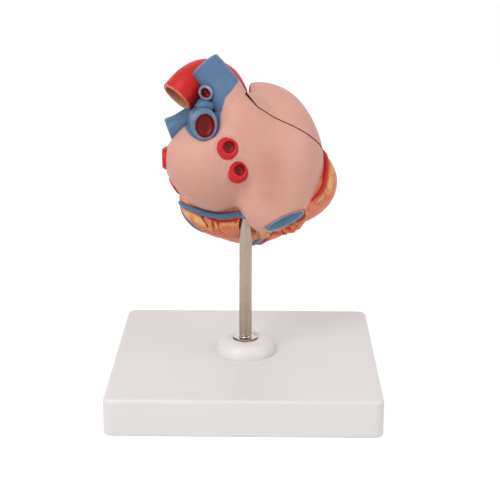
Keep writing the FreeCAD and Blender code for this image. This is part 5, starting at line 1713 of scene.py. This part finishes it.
def muscle_paint():
    """Orange-brown muscle with paler fibres, and ochre fat with red-brown crevices."""
    material, tree, shader = finish_of("muscle_paint", 0.48)
    streak = spread(tree, kept(tree, "fibre"), 0.25, 0.85)
    skin = painted(tree, MUSCLE, MUSCLE_DEEP, 55.0, 0.5)
    skin = blend_colours(tree, product(tree, streak, 0.45), skin, MUSCLE_PALE)
    crest = spread(tree, kept(tree, "relief"), 0.15, 0.75)
    streaked = painted(tree, FAT, FAT_PALE, 220.0, 0.8)
    streaked = blend_colours(tree, spread(tree, noise(tree, 150.0), 0.5, 0.62, 0.0, 0.55), streaked, MUSCLE)
    fat = blend_colours(tree, crest, FAT_CREVICE, streaked)
    skin = blend_colours(tree, kept(tree, "fat"), skin, fat)
    dress(tree, shader, chamber_and_edge(tree, skin), grain_normal(tree, 900.0, 0.16))
    return material


def fat_paint(name, crevice, first, second):
    """Lobules of fat, with another colour in the creases between them."""
    material, tree, shader = finish_of(name, 0.42)
    crest = spread(tree, kept(tree, "relief"), 0.25, 0.8)
    fat = blend_colours(tree, crest, crevice, painted(tree, first, second, 260.0, 0.85))
    dress(tree, shader, fat, grain_normal(tree, 1100.0, 0.18))
    return material


def chamber_paint():
    """Reddish flesh for what stands inside the chambers."""
    material, tree, shader = finish_of("chamber_paint", 0.5)
    dress(tree, shader, painted(tree, CHAMBER, CHAMBER_DEEP, 140.0, 0.7), grain_normal(tree, 900.0, 0.16))
    return material


# %% Vessel, valve, metal and plastic finishes
def rim_wear_and_highlight(tree, skin, worn_and_highlit_colour, wear_and_highlight_share):
    """Paint rubbed pale in patches along a cut end, with a painted highlight on its rounded lip."""
    patches = spread(tree, noise(tree, 260.0), 0.40, 0.62, 0.25, 1.0)
    share = product(tree, product(tree, kept(tree, "rim"), patches), wear_and_highlight_share)
    return blend_colours(tree, share, skin, worn_and_highlit_colour)


def vessel_paint(name, first, second, bore, worn_and_highlit_colour=RED_WORN_AND_HIGHLIGHT, wear_and_highlight_share=0.6):
    """A vessel's own colour outside, another down its bore, partly painted shade where deep red, and a rim
    rubbed pale with a painted highlight.
    """
    material, tree, shader = finish_of(name, 0.40)
    skin = rim_wear_and_highlight(tree, painted(tree, first, second, 70.0, 0.5), worn_and_highlit_colour, wear_and_highlight_share)
    # the bore's colour; a deep red one is partly painted shade in the bore
    skin = blend_colours(tree, kept(tree, "bore"), skin, bore)
    dress(tree, shader, skin, grain_normal(tree, 1000.0, 0.10), uneven_roughness(tree, 200.0, 0.36, 0.46))
    return material


def cava_paint():
    """Slate blue, with the flesh pink of the atrium running up one side."""
    material, tree, shader = finish_of("caval_blue_paint", 0.42)
    # rim rubbed pale, with a painted highlight on the lip
    skin = rim_wear_and_highlight(tree, painted(tree, BLUE, BLUE_DEEP, 70.0, 0.5), BLUE_WORN_AND_HIGHLIGHT, 0.35)
    skin = blend_colours(tree, kept(tree, "pink"), skin, painted(tree, PINK, PINK_DEEP, 38.0, 0.45))
    # the azygos opening in deep red, partly painted shade
    skin = blend_colours(tree, kept(tree, "pocket"), skin, BORE_RED_AND_SHADE)
    dress(tree, shader, skin, grain_normal(tree, 1000.0, 0.10))
    return material


def plain_plastic(name, first, second, roughness, specular=0.5):
    """A moulded plastic or rubber: nearly even colour and a faint orange peel."""
    material, tree, shader = finish_of(name, roughness, specular)
    dress(tree, shader, painted(tree, first, second, 25.0, 0.35), grain_normal(tree, 700.0, 0.05, 0.8),
          uneven_roughness(tree, 90.0, roughness - 0.03, roughness + 0.04))
    return material


def plated(name, first, second, roughness):
    """A plated metal: faint drawing lines along Z, and a little haze."""
    material, tree, shader = finish_of(name, roughness, 0.5, 1.0)
    squashed = add(tree, "Mapping", {"Vector": here(tree), "Scale": (2600.0, 2600.0, 60.0)}).outputs["Vector"]
    lines = noise(tree, 1.0, 2.0, squashed)
    normal = add(tree, "Bump", {"Height": lines, "Strength": 0.10, "Distance": LINE_HEIGHT}).outputs["Normal"]
    dress(tree, shader, painted(tree, first, second, 120.0, 0.4), normal,
          uneven_roughness(tree, 300.0, roughness - 0.05, roughness + 0.07))
    return material


FINISHES = {
    "atrium_pink": atrium_paint(),
    "muscle_paint": muscle_paint(),
    "fat_ochre": fat_paint("fat_paint", FAT_CREVICE, FAT, FAT_PALE),
    "fat_orange": fat_paint("lobule_paint", LOBULE_CREVICE, LOBULE, LOBULE_PALE),
    "chamber_paint": chamber_paint(),
    # pale rims are rubbed paint with a painted highlight; deep red bores are partly painted shade
    "artery_red": vessel_paint("artery_red_paint", RED, RED_DEEP, BORE_RED_AND_SHADE),
    "aorta_red": vessel_paint("aorta_red_paint", RED, RED_DEEP, BORE_TAN, RED_WORN_AND_HIGHLIGHT, 0.9),
    "vein_blue": vessel_paint("vein_blue_paint", BLUE, BLUE_DEEP, BORE_RED_AND_SHADE, BLUE_WORN_AND_HIGHLIGHT, 0.25),
    "azygos_blue": vessel_paint("azygos_blue_paint", BLUE, BLUE_DEEP, BORE_RED_AND_SHADE, BLUE_WORN_AND_HIGHLIGHT, 0.8),
    # the lining's lighter blue is painted light in the shaded mouth
    "lining_blue": vessel_paint("lining_blue_paint", LINING_BLUE_PAINTED_LIGHT, LINING_DEEP_PAINTED_LIGHT, LINING_BLUE_PAINTED_LIGHT, BLUE_WORN_AND_HIGHLIGHT, 1.0),
    "caval_blue": cava_paint(),
    "valve_cream": plain_plastic("valve_cream_paint", CREAM, colour(218, 190, 160), 0.45),
    "base_plastic": plain_plastic("white_moulding", WHITE_PLASTIC, colour(224, 221, 220), 0.34),
    "sleeve_plastic": plain_plastic("turned_acetal", colour(232, 228, 220), colour(222, 218, 208), 0.4),
    "foot_rubber": plain_plastic("foot_rubber", colour(40, 40, 41), colour(28, 28, 29), 0.75, 0.3),
    "rod_steel": plated("satin_nickel", colour(176, 161, 145), colour(158, 143, 128), 0.32),
    "nut_steel": plated("bright_zinc", colour(214, 212, 210), colour(190, 188, 188), 0.16),
    "pin_brass": plated("turned_brass", colour(214, 178, 100), colour(196, 156, 82), 0.3),
}
print("finishes:", ", ".join(FINISHES))

# %% [markdown]
# ## Put every piece in its place in the frame
# Each new piece stands for the frame's piece of the same name, rides on the same body, and takes
# that piece's material slot. Pieces of the frame whose plain shape is right just get their finish.

# %% Ride, replace and dress
record = frame["record"]
BODY_OF = {node: body for body, nodes in record["behaviour"]["bodies"].items() for node in nodes}
SLOT_OF = {part["node"]: part["material_slot"] for part in record["subparts"]}
OWN_FINISH = {"upper_cava": "caval_blue", "azygos_stub": "azygos_blue", "aorta_arch": "aorta_red",
              "lower_cava_lining": "lining_blue", "fat_under_cava": "fat_orange",
              "septum_back": "muscle_paint", "septum_front": "muscle_paint"}
for name, piece in PIECES.items():
    piece.data.materials.clear()
    piece.data.materials.append(FINISHES[OWN_FINISH.get(name, SLOT_OF[name])])
    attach(piece, BODY_OF[name])
    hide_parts(name)
for name, node in frame["nodes"].items():
    if name not in PIECES:
        node.data.materials.clear()
        node.data.materials.append(FINISHES[SLOT_OF[name]])
for tool in [o for o in bpy.data.objects if o.name.startswith("tool_")]:
    discard(tool)
print("kept as they are:", sorted(set(frame["nodes"]) - set(PIECES)))

# %% [markdown]
# ## Floor, light and camera
# A pale floor, an even sky and one large soft lamp from the upper left. The camera sees a white
# ground, but the floor keeps a faint shadow, so that the stand doesn't float.

# %% Floor
def white_stage(tree, strength, share_of_diffuse):
    """White to the camera and in reflections; a plain pale surface to all other light."""
    output = tree.nodes["Material Output"]
    plain = add(tree, "BsdfDiffuse", {"Color": (share_of_diffuse,) * 3 + (1.0,)}).outputs[0]
    glow = add(tree, "Emission", {"Color": (1, 1, 1, 1), "Strength": strength}).outputs[0]
    both = add(tree, "AddShader", {0: plain, 1: glow}).outputs[0]
    path = add(tree, "LightPath").outputs
    seen = sums(tree, "MAXIMUM", path["Is Camera Ray"], path["Is Glossy Ray"])
    diffuse = add(tree, "BsdfDiffuse", {"Color": (0.75, 0.75, 0.75, 1.0)}).outputs[0]
    chosen = add(tree, "MixShader", {0: seen, 1: diffuse, 2: both}).outputs[0]
    tree.links.new(chosen, output.inputs["Surface"])


def sheet(name, corners, material_name):
    """One flat face with a material of its own, and that material's nodes."""
    mesh = bpy.data.meshes.new(name)
    mesh.from_pydata(corners, [], [(0, 1, 2, 3)])
    material = bpy.data.materials.new(material_name)
    material.use_nodes = True
    mesh.materials.append(material)
    return new_object(name, mesh), material.node_tree


FLOOR_HALF = 6.0            # metres
floor_corners = [(x * FLOOR_HALF, y * FLOOR_HALF, 0.0) for x, y in ((-1, -1), (1, -1), (1, 1), (-1, 1))]
floor, floor_tree = sheet("floor", floor_corners, "studio_floor")
white_stage(floor_tree, 0.80, 0.35)
floor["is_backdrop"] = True

# %% World and lamps
world = bpy.data.worlds.new("studio")
world.use_nodes = True
bpy.context.scene.world = world
sky = world.node_tree
path = add(sky, "LightPath").outputs
direct = sums(sky, "MAXIMUM", path["Is Camera Ray"], path["Is Glossy Ray"])
white = add(sky, "Background", {"Color": (1, 1, 1, 1), "Strength": 1.0}).outputs[0]
fill = add(sky, "Background", {"Color": (1.0, 0.99, 0.98, 1), "Strength": 0.55}).outputs[0]
sky.links.new(add(sky, "MixShader", {0: direct, 1: fill, 2: white}).outputs[0],
              sky.nodes["World Output"].inputs["Surface"])


def put(thing, place, right, up, back):
    """Stands an object at a place in metres, with its own axes along three directions."""
    turn = Matrix(np.stack([right, up, back], 1).tolist()).to_4x4()
    turn.translation = place
    thing.matrix_world = turn


def soft_lamp(name, place, aim, size, power):
    """A square area lamp at a place in metres, turned towards its aim."""
    lamp = bpy.data.lights.new(name, "AREA")
    lamp.size = size
    lamp.energy = power
    back, up, _ = axes_along(np.array(place) - np.array(aim), (0.0, 0.0, 1.0))
    put(new_object(name, lamp), place, np.cross(up, back), up, back)


soft_lamp("key_lamp", (-0.75, -1.0, 1.15), (0.0, 0.0, 0.09), 0.9, 12.8)
soft_lamp("rim_lamp", (0.9, -0.3, 0.7), (0.0, 0.0, 0.1), 0.8, 2.6)
soft_lamp("low_lamp", (-0.7, -1.0, 0.1), (-0.02, 0.0, 0.1), 0.6, 1.0)

# %% [markdown]
# Bright metal shows what stands round it, so in an all-white studio it looks like white plastic. A
# dark card hung behind the camera helps. Only reflections see this one: it gives the rod its darker
# middle and light edges, and casts no shadow.

# %% Dark card
CARD_HALF_WIDTH = 0.75
CARD_TOP = 2.2
CARD_BEHIND = -1.9
CARD_GREY = 0.16
card_corners = [(x, CARD_BEHIND, z) for x, z in ((-CARD_HALF_WIDTH, 0.0), (CARD_HALF_WIDTH, 0.0),
                                                 (CARD_HALF_WIDTH, CARD_TOP), (-CARD_HALF_WIDTH, CARD_TOP))]
card, card_tree = sheet("dark_card", card_corners, "dark_card")
card.visible_camera = card.visible_diffuse = card.visible_transmission = card.visible_shadow = False
card_glow = add(card_tree, "Emission", {"Color": (CARD_GREY,) * 3 + (1.0,), "Strength": 1.0})
card_tree.links.new(card_glow.outputs[0], card_tree.nodes["Material Output"].inputs["Surface"])
card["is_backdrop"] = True

# %% Camera
CAMERA_PLACE = (0.008328, -0.613568, 0.247961)
CAMERA_RIGHT = (0.9999254, 0.01147599, 0.00418285)
CAMERA_UP = (-0.0072346, 0.28052279, 0.9598201)
FOCAL_PIXELS = 1348.04
FRAME_PIXELS = 500.0
camera_data = bpy.data.cameras.new("camera")
camera_data.sensor_width = 36.0
camera_data.lens = FOCAL_PIXELS / FRAME_PIXELS * camera_data.sensor_width
camera_data.clip_start = 0.01
camera = new_object("camera", camera_data)
put(camera, CAMERA_PLACE, CAMERA_RIGHT, CAMERA_UP, np.cross(CAMERA_RIGHT, CAMERA_UP))
bpy.context.scene.camera = camera
bpy.context.scene.view_settings.view_transform = "Standard"

# %% Count the faces of the shown pieces, and finish
def plain(box):
    """A box as plain lists of numbers."""
    return [[float(value) for value in corner] for corner in box]


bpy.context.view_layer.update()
faces = {o.name: len(o.data.polygons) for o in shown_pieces()}
print("most faces:", sorted(faces.items(), key=lambda item: -item[1])[:5], "in all", sum(faces.values()))
